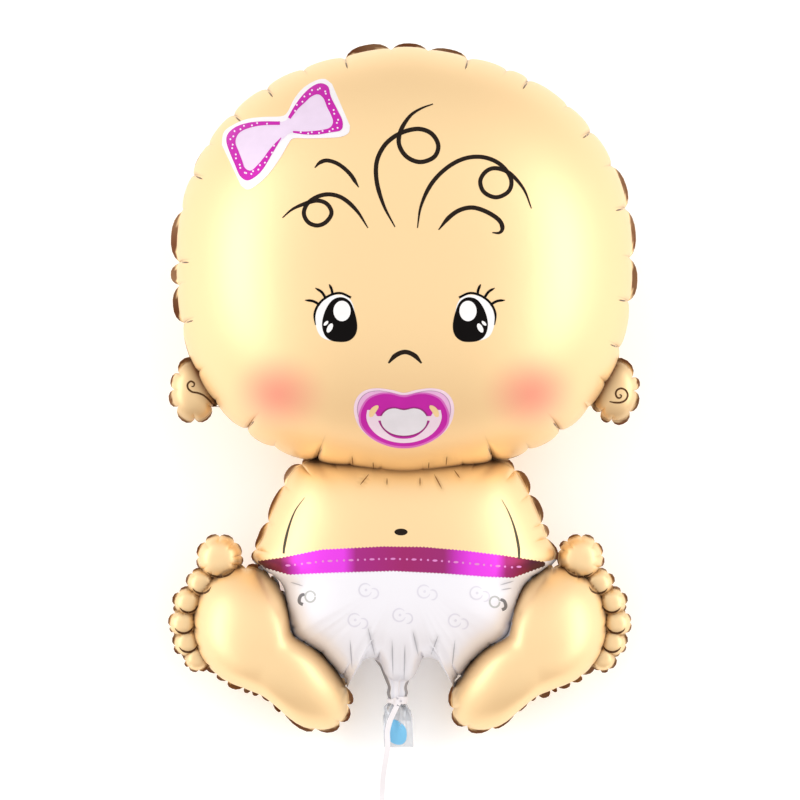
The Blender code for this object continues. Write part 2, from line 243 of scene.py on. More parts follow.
def puckers(count, depth, length, rng, strong=()):
    """Pucker angles round a rim, with the depth and inward length of each.

    `strong` lists creases as (angle in degrees, depth, length). Weaker ones fill the gaps between them.
    """
    strong = sorted((math.radians(a) % CIRCLE, d, n) for a, d, n in strong) or [(0.0, depth, length)]
    made = []
    for here, after in zip(strong, strong[1:] + [(strong[0][0] + CIRCLE, *strong[0][1:])]):
        gap = after[0] - here[0]
        parts = max(1, round(count * gap / CIRCLE))
        made.append(here)
        for k in range(1, parts):
            angle = here[0] + gap * (k / parts + rng.uniform(-PUCKER_SHIFT, PUCKER_SHIFT) / parts)
            made.append((angle, depth * rng.uniform(*PUCKER_DEPTHS), length * rng.uniform(*PUCKER_LENGTHS)))
    return np.array(made)


SEAM_INSET = 0.005  # the outline holds the seam, and the sheets part this far inside it
SEAM_STEPS = 0.12, 0.56, 1.0  # shares of the seam's width at which it has points
SEAM_SHOWN, SEAM_TUCKED = (0.65, 1.15), (0.04, 0.14)  # shares of its width inside and outside the zones
SEAM_LIFT = 0.6  # how far the seam may bend up or down, as a share of its width
SHEET_RISE, SEAM_RISE = 0.00025, 0.0002  # metres from the seam plane to a sheet, and to the seam's face


class Chamber:
    """One pillow of the balloon, from an angle round its middle and a share of the way to its seam.

    Its height is half_depth * sqrt(1 - share^3). Its distance from the middle is the share of a curve that
    is round near the middle and is the outline at the rim. Between two puckers the rim is a scallop that
    dips as the power 2.2 of the way from its crest, with a narrow furrow at the pucker. Both fade inwards
    as the square of the way.
    """

    CORE_SPREAD = np.linspace(-0.6, 0.6, 13)  # radians over which the outline is evened out near the middle
    FURROW = 0.0018  # metres, the furrow's width at a pucker
    SCALLOP_POWER = 2.2
    SCALLOP_SHARE, FURROW_SHARE = 0.55, 0.45  # shares of a pucker's depth
    FURROW_HEIGHT = 0.42  # share of the chamber's height that a furrow takes
    TICK_DEPTH, TICK_ABOVE, TICK_BELOW = 0.0044, 0.003, 0.012  # metres: the pucker depth at which its painted shade is full, and how far outside and inside the surface it reaches

    def __init__(self, kind, middle, reach, half_depth, folds, turn=0.0, zones=((0, 360),), lean=0.0):
        """`zones` are the angles in degrees between which the seam shows."""
        self.kind, self.middle = kind, np.array(middle, dtype=float)
        self.reach, self.half_depth, self.turn = reach, half_depth, turn
        self.trim, self.zones, self.lean = TRIM[kind], zones, lean
        self.folds = np.vstack([folds, folds[:1] + [[CIRCLE, 0, 0]]])

    def unwound(self, angle):
        """The angle within the turn that starts at the first pucker."""
        start = self.folds[0, 0]
        return (angle - start) % CIRCLE + start

    def scallop(self, angle, share):
        """How far the rim bites in, in metres, and how much of the height the furrow takes."""
        angle = self.unwound(angle)
        k = np.clip(np.searchsorted(self.folds[:, 0], angle, side="right") - 1, 0, len(self.folds) - 2)
        gap = self.folds[k + 1, 0] - self.folds[k, 0]
        way = (angle - self.folds[k, 0]) / gap
        depth = self.folds[k, 1] * (1 - way) + self.folds[k + 1, 1] * way
        length = self.folds[k, 2] * (1 - way) + self.folds[k + 1, 2] * way
        fade = np.clip((share - 1) / length + 1, 0, 1) ** 2
        near = np.exp(-np.minimum(way, 1 - way) * gap * self.reach(angle) / self.FURROW)
        dip = self.SCALLOP_SHARE * np.abs(2 * way - 1) ** self.SCALLOP_POWER + self.FURROW_SHARE * near
        return depth * dip * fade, self.FURROW_HEIGHT * near * fade

    def far(self, angle, share):
        """The distance from the middle."""
        rim = self.reach(angle)
        core = np.mean([self.reach(angle + t) for t in self.CORE_SPREAD], axis=0)
        return share * (core + (rim - core) * share**3 - SEAM_INSET) - self.scallop(angle, share)[0]

    def surface(self, samples, rings, seam, rng):
        """Points and faces of both sheets with the seam between them, as grids of ring and angle."""
        step = (1 - np.cos(np.pi * np.arange(samples) / samples)) / 2
        gaps = np.diff(self.folds[:, 0])
        angle = (self.folds[:-1, :1] + gaps[:, None] * step).ravel()
        crest = 1 - np.abs(2 * np.tile(step, len(gaps)) - 1) ** 3
        shown = np.zeros(len(gaps), dtype=bool)
        for start, end in self.zones:
            shown |= (np.degrees(self.folds[:-1, 0] + gaps / 2) - start) % 360 < end - start
        parts = np.where(shown, rng.uniform(*SEAM_SHOWN, len(gaps)), rng.uniform(*SEAM_TUCKED, len(gaps)))
        flange = seam * self.trim * np.repeat(parts, samples) * crest
        lift = np.repeat(rng.uniform(-SEAM_LIFT, SEAM_LIFT, len(gaps)), samples) * flange
        bend = np.arange(1, rings + 1)[:, None] / rings * math.pi / 2
        share = np.sin(bend) ** (2 / 3)
        far = self.far(angle, share)
        high = self.half_depth * np.cos(bend) * (1 - self.scallop(angle, share)[1]) + SHEET_RISE
        rim = np.stack([far[-1] + flange * part for part in SEAM_STEPS])
        rise = np.stack([lift * part for part in SEAM_STEPS])
        far = np.concatenate([far, rim, rim[::-1], far[::-1]])
        high = np.concatenate([high, rise + SEAM_RISE, rise[::-1] - SEAM_RISE, -high[::-1]])
        x, y = far * np.cos(angle + self.turn), far * np.sin(angle + self.turn)
        x = x + self.lean * lean_share(y + self.middle[1])
        rows, columns = far.shape
        grid = np.stack([x + self.middle[0], y + self.middle[1], high], axis=-1).reshape(-1, 3)
        poles = [[*self.middle, self.half_depth], [*self.middle, -self.half_depth]]
        return np.concatenate([grid, poles]), closed_grid(rows, columns, len(grid), len(grid) + 1)

    def outside(self, points):
        """How far points lie outside, in metres: half_depth / 2 times share^3 + (z / half_depth)^2 - 1."""
        angle, share = self.polar(points)
        return ((points[:, 2] / self.half_depth) ** 2 + share**3 - 1) * self.half_depth / 2

    def polar(self, points):
        """The angle of points round the middle, and their share of the way to the seam."""
        x = points[:, 0] - self.middle[0] - self.lean * lean_share(points[:, 1])
        y = points[:, 1] - self.middle[1]
        angle = np.arctan2(y, x) - self.turn
        return angle, np.hypot(x, y) / np.maximum(self.reach(angle) - SEAM_INSET, 1e-6)

    def tick(self, points):
        """Where the deepest puckers get painted shade: 1 along them, on the chamber's own surface."""
        angle, share = self.polar(points)
        angle = self.unwound(angle)
        off = np.abs(angle[:, None] - self.folds[None, :, 0])
        k = off.argmin(axis=1)
        off = off[np.arange(len(k)), k] * np.minimum(share, 1) * self.reach(angle)
        strong = np.clip(self.folds[k, 1] / self.TICK_DEPTH, 0, 1) ** 4
        fade = np.clip((share - 1) / (1.2 * self.folds[k, 2]) + 1, 0, 1)
        made = strong * fade * np.exp(-((off / (0.4 * self.FURROW + 0.0005 * fade)) ** 2))
        outside = self.outside(points)
        return np.where((outside < self.TICK_ABOVE) & (outside > -self.TICK_BELOW), made, 0)


def lean_share(y):
    """0 at the navel, rising smoothly to 1 at the nappy's lower end."""
    t = np.clip((LEAN_FROM - np.asarray(y)) / LEAN_OVER, 0, 1)
    return t * t * (3 - 2 * t)


# Meshes and pieces.


def closed_grid(rows, columns, top=None, bottom=None):
    """Quads of a grid that closes on itself sideways, with fans to a top and a bottom point."""
    r, c = np.meshgrid(np.arange(rows - 1), np.arange(columns), indexing="ij")
    d = (c + 1) % columns
    corners = [r * columns + c, (r + 1) * columns + c, (r + 1) * columns + d, r * columns + d]
    faces = np.stack(corners, axis=-1).reshape(-1, 4).tolist()
    ring, after = np.arange(columns), (np.arange(columns) + 1) % columns
    last = (rows - 1) * columns
    if top is not None:
        faces += np.stack([np.full(columns, top), ring, after], axis=-1).tolist()
    if bottom is not None:
        faces += np.stack([np.full(columns, bottom), last + after, last + ring], axis=-1).tolist()
    return faces


def tube(ring):
    """Points and faces of a closed tube from an array of rows, each a ring of points."""
    rows, columns = ring.shape[:2]
    ends = [list(range(columns))[::-1], [(rows - 1) * columns + c for c in range(columns)]]
    return ring.reshape(-1, 3), closed_grid(rows, columns) + ends


def together(shells):
    """Points and faces of several shells as one."""
    points, faces, start = [], [], 0
    for shell, made in shells:
        faces += [[i + start for i in face] for face in made]
        start += len(shell)
        points.append(shell)
    return np.concatenate(points), faces


def mesh_of(name, points, faces):
    """A mesh from arrays, smooth shaded."""
    mesh = bpy.data.meshes.new(name)
    mesh.from_pydata(np.asarray(points).tolist(), [], faces)
    mesh.update()
    mesh.shade_smooth()
    return mesh


def turn_outwards(mesh):
    """Recalculate the normals of closed shells."""
    bm = bmesh.new()
    bm.from_mesh(mesh)
    bmesh.ops.recalc_face_normals(bm, faces=bm.faces)
    bm.to_mesh(mesh)
    bm.free()


def placed(name, content):
    """A new object in the scene."""
    made = bpy.data.objects.new(name, content)
    bpy.context.scene.collection.objects.link(made)
    return made


def piece(name, mesh, materials):
    """A finished piece that rides with the balloon."""
    made = placed(name, mesh)
    for finish in materials:
        mesh.materials.append(finish)
    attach(made, "root")
    return made


def shell_piece(name, points, faces, materials, sharp=60, finishes=None):
    """A finished piece of closed shells, with edges of more than `sharp` degrees left crisp."""
    mesh = mesh_of(name, points, faces)
    if finishes:
        mesh.polygons.foreach_set("material_index", finishes)
    turn_outwards(mesh)
    mesh.set_sharp_from_angle(angle=math.radians(sharp))
    return piece(name, mesh, materials)


def evaluated(obj):
    """The object's mesh with its modifiers applied, as a new mesh."""
    graph = bpy.context.evaluated_depsgraph_get()
    return bpy.data.meshes.new_from_object(obj.evaluated_get(graph), depsgraph=graph)


def coordinates(mesh):
    at = np.empty(3 * len(mesh.vertices))
    mesh.vertices.foreach_get("co", at)
    return at.reshape(-1, 3)


# Materials.


def feed(tree, value, socket):
    """Set a socket to a number or a colour, or link another node's output to it."""
    if isinstance(value, bpy.types.NodeSocket):
        tree.links.new(value, socket)
    else:
        socket.default_value = (*value, 1.0) if socket.type == "RGBA" else value


def node(tree, kind, **values):
    """A new node with some of its properties and inputs set or linked."""
    made = tree.nodes.new(kind)
    for name, value in values.items():
        if name in made.bl_rna.properties:
            setattr(made, name, value)
        else:
            feed(tree, value, made.inputs[name.replace("_", " ")])
    return made


def new_material(name, **values):
    """A material, its node tree and its shader, with some of the shader's inputs set."""
    made = bpy.data.materials.new(name)
    made.use_nodes = True
    tree, shader = made.node_tree, made.node_tree.nodes["Principled BSDF"]
    for socket, value in values.items():
        feed(tree, value, shader.inputs[socket.replace("_", " ")])
    return made, tree, shader


def math_node(tree, operation, *terms):
    made = node(tree, "ShaderNodeMath", operation=operation)
    for term, socket in zip(terms, made.inputs):
        feed(tree, term, socket)
    return made.outputs[0]


def blend(tree, factor, first, second):
    """A colour mix, of sockets or colours."""
    made = node(tree, "ShaderNodeMix", data_type="RGBA")
    feed(tree, factor, made.inputs["Factor"])
    for value, socket in zip((first, second), (s for s in made.inputs if s.type == "RGBA")):
        feed(tree, value, socket)
    return next(s for s in made.outputs if s.type == "RGBA")


def film_crinkle(tree, shader, strength):
    """Fine crinkles of thin film: distorted noise as bump. Gives the coordinates that they use."""
    where = node(tree, "ShaderNodeTexCoord").outputs["Object"]
    fine = node(
        tree, "ShaderNodeTexNoise", Vector=where, Scale=34.0, Detail=3.0, Roughness=0.55, Distortion=0.6
    )
    bump = node(tree, "ShaderNodeBump", Strength=strength, Distance=0.002, Height=fine.outputs["Fac"])
    feed(tree, bump.outputs["Normal"], shader.inputs["Normal"])
    return where


def plane_coordinates(tree, where):
    """Object coordinates turned back onto the seam plane."""
    back = PLANE.inverted()
    turn = {"Rotation": back.to_euler(), "Location": back.translation}
    return node(tree, "ShaderNodeMapping", vector_type="POINT", Vector=where, **turn).outputs["Vector"]


CHEEK = (0.1385, 0.0765)  # metres from the face's axis, and above the neck
CHEEK_SIZE = (0.062, 0.053)
CHEEK_STRENGTH = 0.84


def cheek_blush(tree, place):
    """1 at the middle of either cheek, fading smoothly to 0 at its edge, on the face side only."""
    x, y, z = node(tree, "ShaderNodeSeparateXYZ", Vector=place).outputs
    squares = []
    for at, middle, size in zip((math_node(tree, "ABSOLUTE", x), y), CHEEK, CHEEK_SIZE):
        share = math_node(tree, "DIVIDE", math_node(tree, "SUBTRACT", at, middle), size)
        squares.append(math_node(tree, "POWER", share, 2.0))
    away = math_node(tree, "SQRT", math_node(tree, "ADD", *squares))
    fade = node(
        tree, "ShaderNodeMapRange", interpolation_type="SMOOTHSTEP", Value=away, From_Min=1.0, From_Max=0.0
    )
    return math_node(tree, "MULTIPLY", fade.outputs[0], math_node(tree, "GREATER_THAN", z, 0.0))


def foil_material(name, colour, crease, settings, metallic, blushes=False):
    """Satin printed foil with fine crinkles, and painted shade: darker deep in the creases, by the crease
    attribute.
    """
    made, tree, shader = new_material(
        name, Metallic=metallic, Roughness=settings.sheen, Coat_Weight=0.08, Coat_Roughness=0.28
    )
    where = film_crinkle(tree, shader, 0.10)
    base = tuple(colour)
    if blushes:
        blush = cheek_blush(tree, plane_coordinates(tree, where))
        base = blend(tree, math_node(tree, "MULTIPLY", blush, CHEEK_STRENGTH), base, settings.blush)
    # painted shade: the crease attribute blends the foil towards the crease colour
    depth = node(tree, "ShaderNodeAttribute", attribute_name="crease").outputs["Fac"]
    feed(tree, blend(tree, depth, base, crease), shader.inputs["Base Color"])
    return made


INK_DARKEST = 0.86  # the darkest specks of an ink, as a share of its colour


def ink_material(name, colour, metallic=0.35, gloss=0.15):
    """Ink on foil: it keeps some of the film's shine."""
    made, tree, shader = new_material(name, Metallic=metallic, Roughness=0.36, Specular_IOR_Level=gloss)
    where = film_crinkle(tree, shader, 0.06)
    tint = node(tree, "ShaderNodeTexNoise", Vector=where, Scale=60.0, Detail=2.0).outputs["Fac"]
    darker = tuple(c * INK_DARKEST for c in colour)
    feed(tree, blend(tree, tint, darker, tuple(colour)), shader.inputs["Base Color"])
    return made


BAND_PAINTED_SHEEN = (  # pixel column, and the band's colour there: painted reflections, bright where the foil catches the light
    (258, (0.07, 0.006, 0.02)), (282, (0.20, 0.012, 0.055)), (289, (0.34, 0.018, 0.20)),
    (303, (0.80, 0.05, 0.80)), (345, (0.80, 0.05, 0.80)), (357, (0.40, 0.022, 0.24)),
    (404, (0.36, 0.020, 0.15)), (443, (0.34, 0.022, 0.17)), (457, (0.62, 0.035, 0.56)),
    (470, (0.80, 0.05, 0.80)), (494, (0.78, 0.05, 0.76)), (504, (0.36, 0.018, 0.16)),
    (518, (0.24, 0.012, 0.055)), (530, (0.08, 0.006, 0.02)), (546, (0.03, 0.003, 0.01)),
)


def band_material(name):
    """Magenta foil whose colour, with its painted reflections, runs along the band, set by the place from
    side to side.
    """
    made, tree, shader = new_material(name, Metallic=0.6, Roughness=0.34)
    x = node(tree, "ShaderNodeSeparateXYZ", Vector=film_crinkle(tree, shader, 0.12)).outputs[0]
    first, last = BAND_PAINTED_SHEEN[0][0], BAND_PAINTED_SHEEN[-1][0]
    ends = {"From_Min": (first - FACE_AXIS) * PIXEL, "From_Max": (last - FACE_AXIS) * PIXEL}
    way = node(tree, "ShaderNodeMapRange", Value=x, **ends)
    ramp = node(tree, "ShaderNodeValToRGB", Fac=way.outputs[0])
    steps = ramp.color_ramp.elements
    for column, tint in BAND_PAINTED_SHEEN[1:-1]:
        steps.new((column - first) / (last - first)).color = (*tint, 1.0)
    steps[0].color, steps[-1].color = (*BAND_PAINTED_SHEEN[0][1], 1.0), (*BAND_PAINTED_SHEEN[-1][1], 1.0)
    feed(tree, ramp.outputs[0], shader.inputs["Base Color"])
    return made


# Prints: flat shapes in the photograph's pixels, draped over the foil.

PRINT_LAYER = 0.00018  # metres from the foil to the first print, and from each print to the next
PRINT_SUNK = 0.0012  # metres from the foil to a print's hidden underside
DRAPE_MISS = 0.5  # a drape as far as this from the seam plane has missed the foil


def drape(target, places, side=1.0):
    """Points of the foil under places on the seam plane, as the camera sees them, on the plane's own axes.

    A place seen through a bulge lies nearer the camera's axis than it looks, by the bulge's share of the
    distance, so the height is found three times over.
    """
    distance = bpy.context.scene.balloon_stage.distance
    inward = np.zeros((len(places), 1))
    for _ in range(3):
        at = CAMERA_AIM + (places - CAMERA_AIM) * (1 - inward / distance) if side > 0 else places
        flat = mesh_of("probe", np.column_stack([at, np.full(len(at), side)]), [])
        probe = placed("probe", flat)
        probe.matrix_world = PLANE
        press = probe.modifiers.new("press", "SHRINKWRAP")
        press.target = target
        press.wrap_method = "PROJECT"
        press.use_project_z = True
        press.use_negative_direction = side > 0
        press.use_positive_direction = side < 0
        bpy.context.view_layer.update()
        mesh = evaluated(probe)
        found = coordinates(mesh)
        inward = found[:, 2:3]
        bpy.data.objects.remove(probe, do_unlink=True)
        bpy.data.meshes.remove(mesh)
    if (np.abs(inward) > DRAPE_MISS).any():
        raise RuntimeError("a print reaches past the edge of what it is printed on")
    return found


def smooth_curve(points, step, closed=False, per=None):
    """Points about `step` apart, or `per` to each span, on a Catmull-Rom curve through `points`."""
    points = np.array(points, dtype=float)
    if closed:
        line = np.concatenate([points[-1:], points, points[:2]])
    else:
        line = np.concatenate([2 * points[:1] - points[1:2], points, 2 * points[-1:] - points[-2:-1]])
    out = []
    for k in range(len(line) - 3):
        p, a, b, q = line[k:k + 4]
        t = np.linspace(0, 1, (per or max(2, round(np.linalg.norm(b - a) / step))) + 1)[:-1, None]
        curve = 2 * a + (b - p) * t + (2 * p - 5 * a + 4 * b - q) * t**2 + (3 * a - p - 3 * b + q) * t**3
        out.append(0.5 * curve)
    return np.concatenate(out if closed else [*out, points[-1:]])


def arc(middle, radius, start, end, count=9, squash=1.0):
    """Points of an arc in pixels, its angles in degrees, counted from +X towards the picture's bottom."""
    a = np.radians(np.linspace(start, end, count))
    return np.stack([middle[0] + radius * np.cos(a), middle[1] + radius * squash * np.sin(a)], axis=-1)


def stroke(points, width, taper=(0.25, 0.25), step=1.4, swell=3.2):
    """A brush stroke: a strip of `width` pixels along a curve that thins to `taper` of it at either end.

    `swell` is how fast it reaches its full width, in widths over the stroke's whole length.
    """
    line = smooth_curve(points, step)
    way = np.concatenate([[0], np.cumsum(np.hypot(*np.diff(line, axis=0).T))])
    way /= way[-1]
    full = np.minimum(1, np.minimum(taper[0] + way * swell, taper[1] + (1 - way) * swell))
    along = np.gradient(line, axis=0)
    aside = np.stack([-along[:, 1], along[:, 0]], axis=-1) / np.hypot(*along.T)[:, None]
    half = (width / 2 * full)[:, None, None] * np.array([[-1.0], [0.0], [1.0]])
    return ("strip", line[:, None, :] + half * aside[:, None, :])


def between(one, other, per=5, columns=5):
    """A filled shape between two smooth edges that run the same way through as many points each."""
    edges = [smooth_curve(edge, 0, per=per)[:, None, :] for edge in (one, other)]
    share = np.linspace(0, 1, columns)[:, None]
    return ("strip", edges[0] * (1 - share) + edges[1] * share)


def mirrored(points, axis):
    """The same points on the other side of a pixel column."""
    return [(2 * axis - x, y) for x, y in points]


def both_halves(points, axis):
    """A closed outline from the points of its left half, top to bottom."""
    return [*points, *mirrored(points[1:-1], axis)[::-1]]


def disc(middle, away, rings):
    """Rings from a middle to a closed outline that stands `away` from it."""
    shares = np.linspace(0, 1, rings + 1)[1:, None, None]
    return ("disc", middle + away * shares, middle)


def blob(points, rings=4, grow=0.0, middle=None):
    """A filled shape with a smooth closed outline, grown outwards by `grow` pixels."""
    middle = np.mean(points, axis=0) if middle is None else np.array(middle)
    away = smooth_curve(points, 2.0, closed=True) - middle
    return disc(middle, away * (1 + grow / np.hypot(*away.T))[:, None], rings)


def round_blob(middle, across, up, rings=4, tilt=0.0, count=40):
    """A filled ellipse."""
    a = CIRCLE * np.arange(count) / count
    x, y, t = across * np.cos(a), up * np.sin(a), math.radians(tilt)
    turned = [x * math.cos(t) - y * math.sin(t), x * math.sin(t) + y * math.cos(t)]
    return disc(np.array(middle, dtype=float), np.stack(turned, axis=-1), rings)


def printed(name, shapes, materials, target=None, side=1.0):
    """A piece of closed thin shapes that lie on the foil, or on `target`.

    Each is listed as (shape, layer, material index).
    """
    flats = []
    for shape, _, _ in shapes:
        under = shape[1].mean(axis=1) if shape[0] == "strip" else shape[2][None]
        flats.append(np.concatenate([shape[1].reshape(-1, 2), under]))
    places = np.concatenate(flats)
    found = drape(target or bpy.data.objects["foil_skin"], on_plane(places[:, 0], places[:, 1]), side)
    shells, finishes, start = [], [], 0
    for (shape, layer, finish), flat in zip(shapes, flats):
        here = found[start:start + len(flat)].copy()
        start += len(flat)
        rows, columns = shape[1].shape[:2]
        top = rows * columns
        here[:top, 2] += side * PRINT_LAYER * layer
        here[top:, 2] -= side * PRINT_SUNK
        if shape[0] == "strip":
            rings = [here[:top].reshape(rows, columns, 3), here[top:].reshape(rows, 1, 3)]
            shells.append(tube(np.concatenate(rings, axis=1)))
        else:
            middle = here[top:] + [[0, 0, side * (PRINT_SUNK + PRINT_LAYER * layer)]]
            points = np.concatenate([here[:top], middle, here[top:]])
            shells.append((points, closed_grid(rows, columns, top, top + 1)))
        finishes += [finish] * len(shells[-1][1])
    points, faces = together(shells)
    return shell_piece(name, to_world(points), faces, materials, sharp=40, finishes=finishes)


# The balloon's chambers.

HEAD_CREASES = (  # angle in degrees from the face's right, depth, inward length
    (-66.2, 0.0075, 0.12), (-48.0, 0.0055, 0.10), (-22.9, 0.0040, 0.07), (-11.2, 0.0040, 0.07),
    (12.5, 0.0042, 0.07), (33.8, 0.0045, 0.08), (54.9, 0.0045, 0.08), (72.1, 0.0045, 0.08),
    (106.8, 0.0045, 0.08), (129.4, 0.0048, 0.08), (140.3, 0.0045, 0.07), (158.8, 0.0042, 0.07),
    (181.3, 0.0040, 0.07), (196.6, 0.0042, 0.07), (227.4, 0.0058, 0.10), (246.5, 0.0075, 0.12),
)
HEAD_SEAM_SHOWS = ((-9, 22), (75, 103), (173, 200))  # degrees
TORSO_SEAM_SHOWS = ((0, 52), (128, 180))
TORSO_CREASES = (
    (56.0, 0.0045, 0.12), (72.0, 0.0030, 0.08), (108.0, 0.0030, 0.08), (124.0, 0.0045, 0.12),
    (-76.0, 0.0040, 0.24), (-104.0, 0.0040, 0.24), (-62.0, 0.0035, 0.16), (-118.0, 0.0035, 0.16),
)
PUCKERS = {  # how many round a rim, their share of the depth that is set, and their inward length
    "head": (36, 0.85, 0.055), "torso": (30, 0.36, 0.08), "ear": (8, 0.9, 0.3), "foot": (26, 0.6, 0.07),
    "big toe": (9, 0.34, 0.4), "toe": (7, 0.16, 0.4),
}
GRIDS = {  # samples between two puckers, and rings from the middle to the seam
    "head": (10, 38), "torso": (11, 36), "ear": (8, 16), "foot": (8, 26), "toe": (6, 14),
}
TRIM = {"head": 1.25, "torso": 0.95, "ear": 0.7, "foot": 1.0, "toe": 0.5}  # shares of the seam's width


def head_middle():
    return np.array([0.0, HEAD_CHIN - CHIN_OVERHANG])


def head_outline():
    """The head's oval, drawn out at the middles of crown and chin as a bell curve of the way across."""
    round_head = oval(
        HEAD_WIDTH / 2, HEAD_CROWN, HEAD_CHIN + CHIN_ROLL, CROWN_SQUARENESS, CHIN_SQUARENESS
    )

    def reach(angle):
        middle = np.exp(-((np.cos(angle) / PEAK_SPREAD) ** 2))
        return round_head(angle) + np.where(np.sin(angle) > 0, CROWN_PEAK, CHIN_PEAK) * middle

    return reach


def foot_frame(side):
    """The foot's turn, and a function from shares of the foot to the seam plane."""
    turn = math.pi / 2 - side * FOOT_TURN
    heel = np.array([FEET_SHIFT + side * HEEL_SPACING / 2, TORSO_END - HEEL_BELOW_TORSO])
    c, s = math.cos(turn), math.sin(turn)

    def place(along, across):
        u, v = along * FOOT_LENGTH, -side * across * FOOT_LENGTH
        return heel + [u * c - v * s, u * s + v * c]

    return turn, place


def all_chambers(pucker):
    """Every chamber of the balloon, for a usual pucker's depth in metres."""
    rng = np.random.default_rng(7)
    made = []

    def add(kind, middle, reach, half_depth, creases=(), puckered=None, **more):
        count, share, length = PUCKERS[puckered or kind]
        folds = puckers(count, share * pucker, length, rng, creases)
        made.append(Chamber(kind, middle, reach, half_depth, folds, **more))

    reach = head_outline()
    add("head", head_middle(), reach, HEAD_DEPTH / 2, HEAD_CREASES, zones=HEAD_SEAM_SHOWS)

    half = np.array([TORSO_WIDTH / 2, TORSO_LENGTH / 2])
    right = np.array(TORSO_OUTLINE) * half
    outline = rounded([*right, *(right[1:-1] * (-1, 1))])
    middle = (0, SHOULDERS_UNDER_CHIN - half[1])
    add("torso", middle, outline, TORSO_DEPTH / 2, TORSO_CREASES, zones=TORSO_SEAM_SHOWS, lean=LEAN)

    for side in (-1, 1):
        out = float(reach(np.array([EAR_ANGLE]))[0]) + EAR_PROUD
        middle = head_middle() + out * np.array([side * math.cos(EAR_ANGLE), math.sin(EAR_ANGLE)])
        add("ear", middle, oval(EAR_WIDTH / 2, EAR_HEIGHT / 2, EAR_HEIGHT / 2), EAR_DEPTH / 2)

        turn, place = foot_frame(side)
        outline = (np.array(FOOT_OUTLINE) - FOOT_MIDDLE) * FOOT_LENGTH * (1, -side)
        add("foot", place(*FOOT_MIDDLE), rounded(outline), FOOT_DEPTH / 2, turn=turn)
        for along, across, radius in TOES:
            far = radius * FOOT_LENGTH + SEAM_INSET
            half_depth = TOE_FLATNESS * radius * FOOT_LENGTH
            puckered = "big toe" if radius > BIG_TOE_OVER else "toe"
            add("toe", place(along, across), oval(far, far, far), half_depth, puckered=puckered, turn=turn)
    return made


NECK_WIDTHS = (  # shares of the way down to the knot, and half widths there
    (0, 0.25, 0.5, 0.66, 0.78, 0.9, 1), (0.030, 0.019, 0.0135, 0.0098, 0.0112, 0.0092, 0.0090),
)
NECK_DEPTHS = (0, 0.3, 0.6, 1), (0.012, 0.0125, 0.0100, 0.0088)
PLEATS = (9, 0.03, 0.07, 0), (17, 0, 0.03, 1)  # count, depth at the top, deeper by this at the knot, shift
NECK_INSIDE, NECK_PAST_KNOT = 0.034, 0.004  # how far the neck reaches up into the nappy, and past the knot


def neck_surface(rows=32, columns=120):
    """The gathered filling neck: ovals from the nappy down to the knot, pleated by sines of the angle."""
    down = np.linspace(0, 1, rows)[:, None]
    angle = np.linspace(0, CIRCLE, columns, endpoint=False)
    pleat = 1
    for count, depth, more, shift in PLEATS:
        pleat = pleat + (depth + more * down) * np.sin(count * angle + shift)
    x = NECK_SHIFT + np.interp(down, *NECK_WIDTHS) * pleat * np.cos(angle)
    z = np.interp(down, *NECK_DEPTHS) * pleat * np.sin(angle)
    start, end = TORSO_END + NECK_INSIDE, KNOT_Y - NECK_PAST_KNOT
    y = np.broadcast_to(start + (end - start) * down, x.shape)
    points = np.stack([x, y, z], axis=-1).reshape(-1, 3)
    ends = [[NECK_SHIFT, start, 0], [NECK_SHIFT, end, 0]]
    return np.concatenate([points, ends]), closed_grid(rows, columns, len(points), len(points) + 1)


def weld(meshes):
    """Join closed shells one after another into one closed skin."""
    base = placed("welding", meshes[0])
    for mesh in meshes[1:]:
        other = placed("welded", mesh)
        join = base.modifiers.new("weld", "BOOLEAN")
        join.object, join.operation, join.solver = other, "UNION", "MANIFOLD"
        bpy.context.view_layer.update()
        joined = evaluated(base)
        base.modifiers.clear()
        base.data = joined
        bpy.data.objects.remove(other, do_unlink=True)
    mesh = base.data
    bpy.data.objects.remove(base, do_unlink=True)
    return mesh


WRINKLES = (  # pixels from, to, and depth in metres
    ((352, 456), (353, 466), 0.0010), ((373, 462), (373.5, 469), 0.0009), ((429, 462), (428.5, 469), 0.0009),
    ((447, 456), (446, 466), 0.0010), ((369, 474), (360, 485), 0.0012), ((387, 478), (387, 485), 0.0008),
    ((420, 477), (420, 486), 0.0008), ((434, 474), (442, 489), 0.0012), ((454, 470), (460, 478), 0.0010),
    ((368, 628), (375, 656), 0.0016), ((413, 632), (418.5, 656), 0.0016), ((438, 636), (431, 655), 0.0014),
    ((392, 640), (393, 676), 0.0010), ((405, 645), (404, 680), 0.0010), ((350, 640), (352, 668), 0.0008),
    ((455, 640), (452, 668), 0.0008), ((514, 581), (500, 585), 0.0007), ((512, 588), (501, 590), 0.0006),
    ((290, 582), (303, 586), 0.0007),
)
WRINKLE_WIDTH = 0.0026
WRINKLE_ABOVE = 0.004  # metres above the seam plane, below which no wrinkle reaches
WRINKLE_DARKEST = 0.0035  # metres of depth at which a wrinkle's painted shade is as dark as a crease's


def wrinkle(at, distance):
    """How deep each point lies in a wrinkle, in metres, from how the wrinkles look to the camera."""
    seen = CAMERA_AIM + (at[:, :2] - CAMERA_AIM) / (1 - at[:, 2:] / distance)
    deep = np.zeros(len(at))
    for start, end, depth in WRINKLES:
        start, end = on_plane(*start), on_plane(*end)
        along = end - start
        way = np.clip((seen - start) @ along / (along @ along), 0, 1)
        off = np.hypot(*(seen - start - way[:, None] * along).T)
        deep += depth * np.exp(-((off / WRINKLE_WIDTH) ** 2)) * (0.35 + 0.65 * np.sin(math.pi * way))
    return np.where(at[:, 2] > WRINKLE_ABOVE, deep, 0)


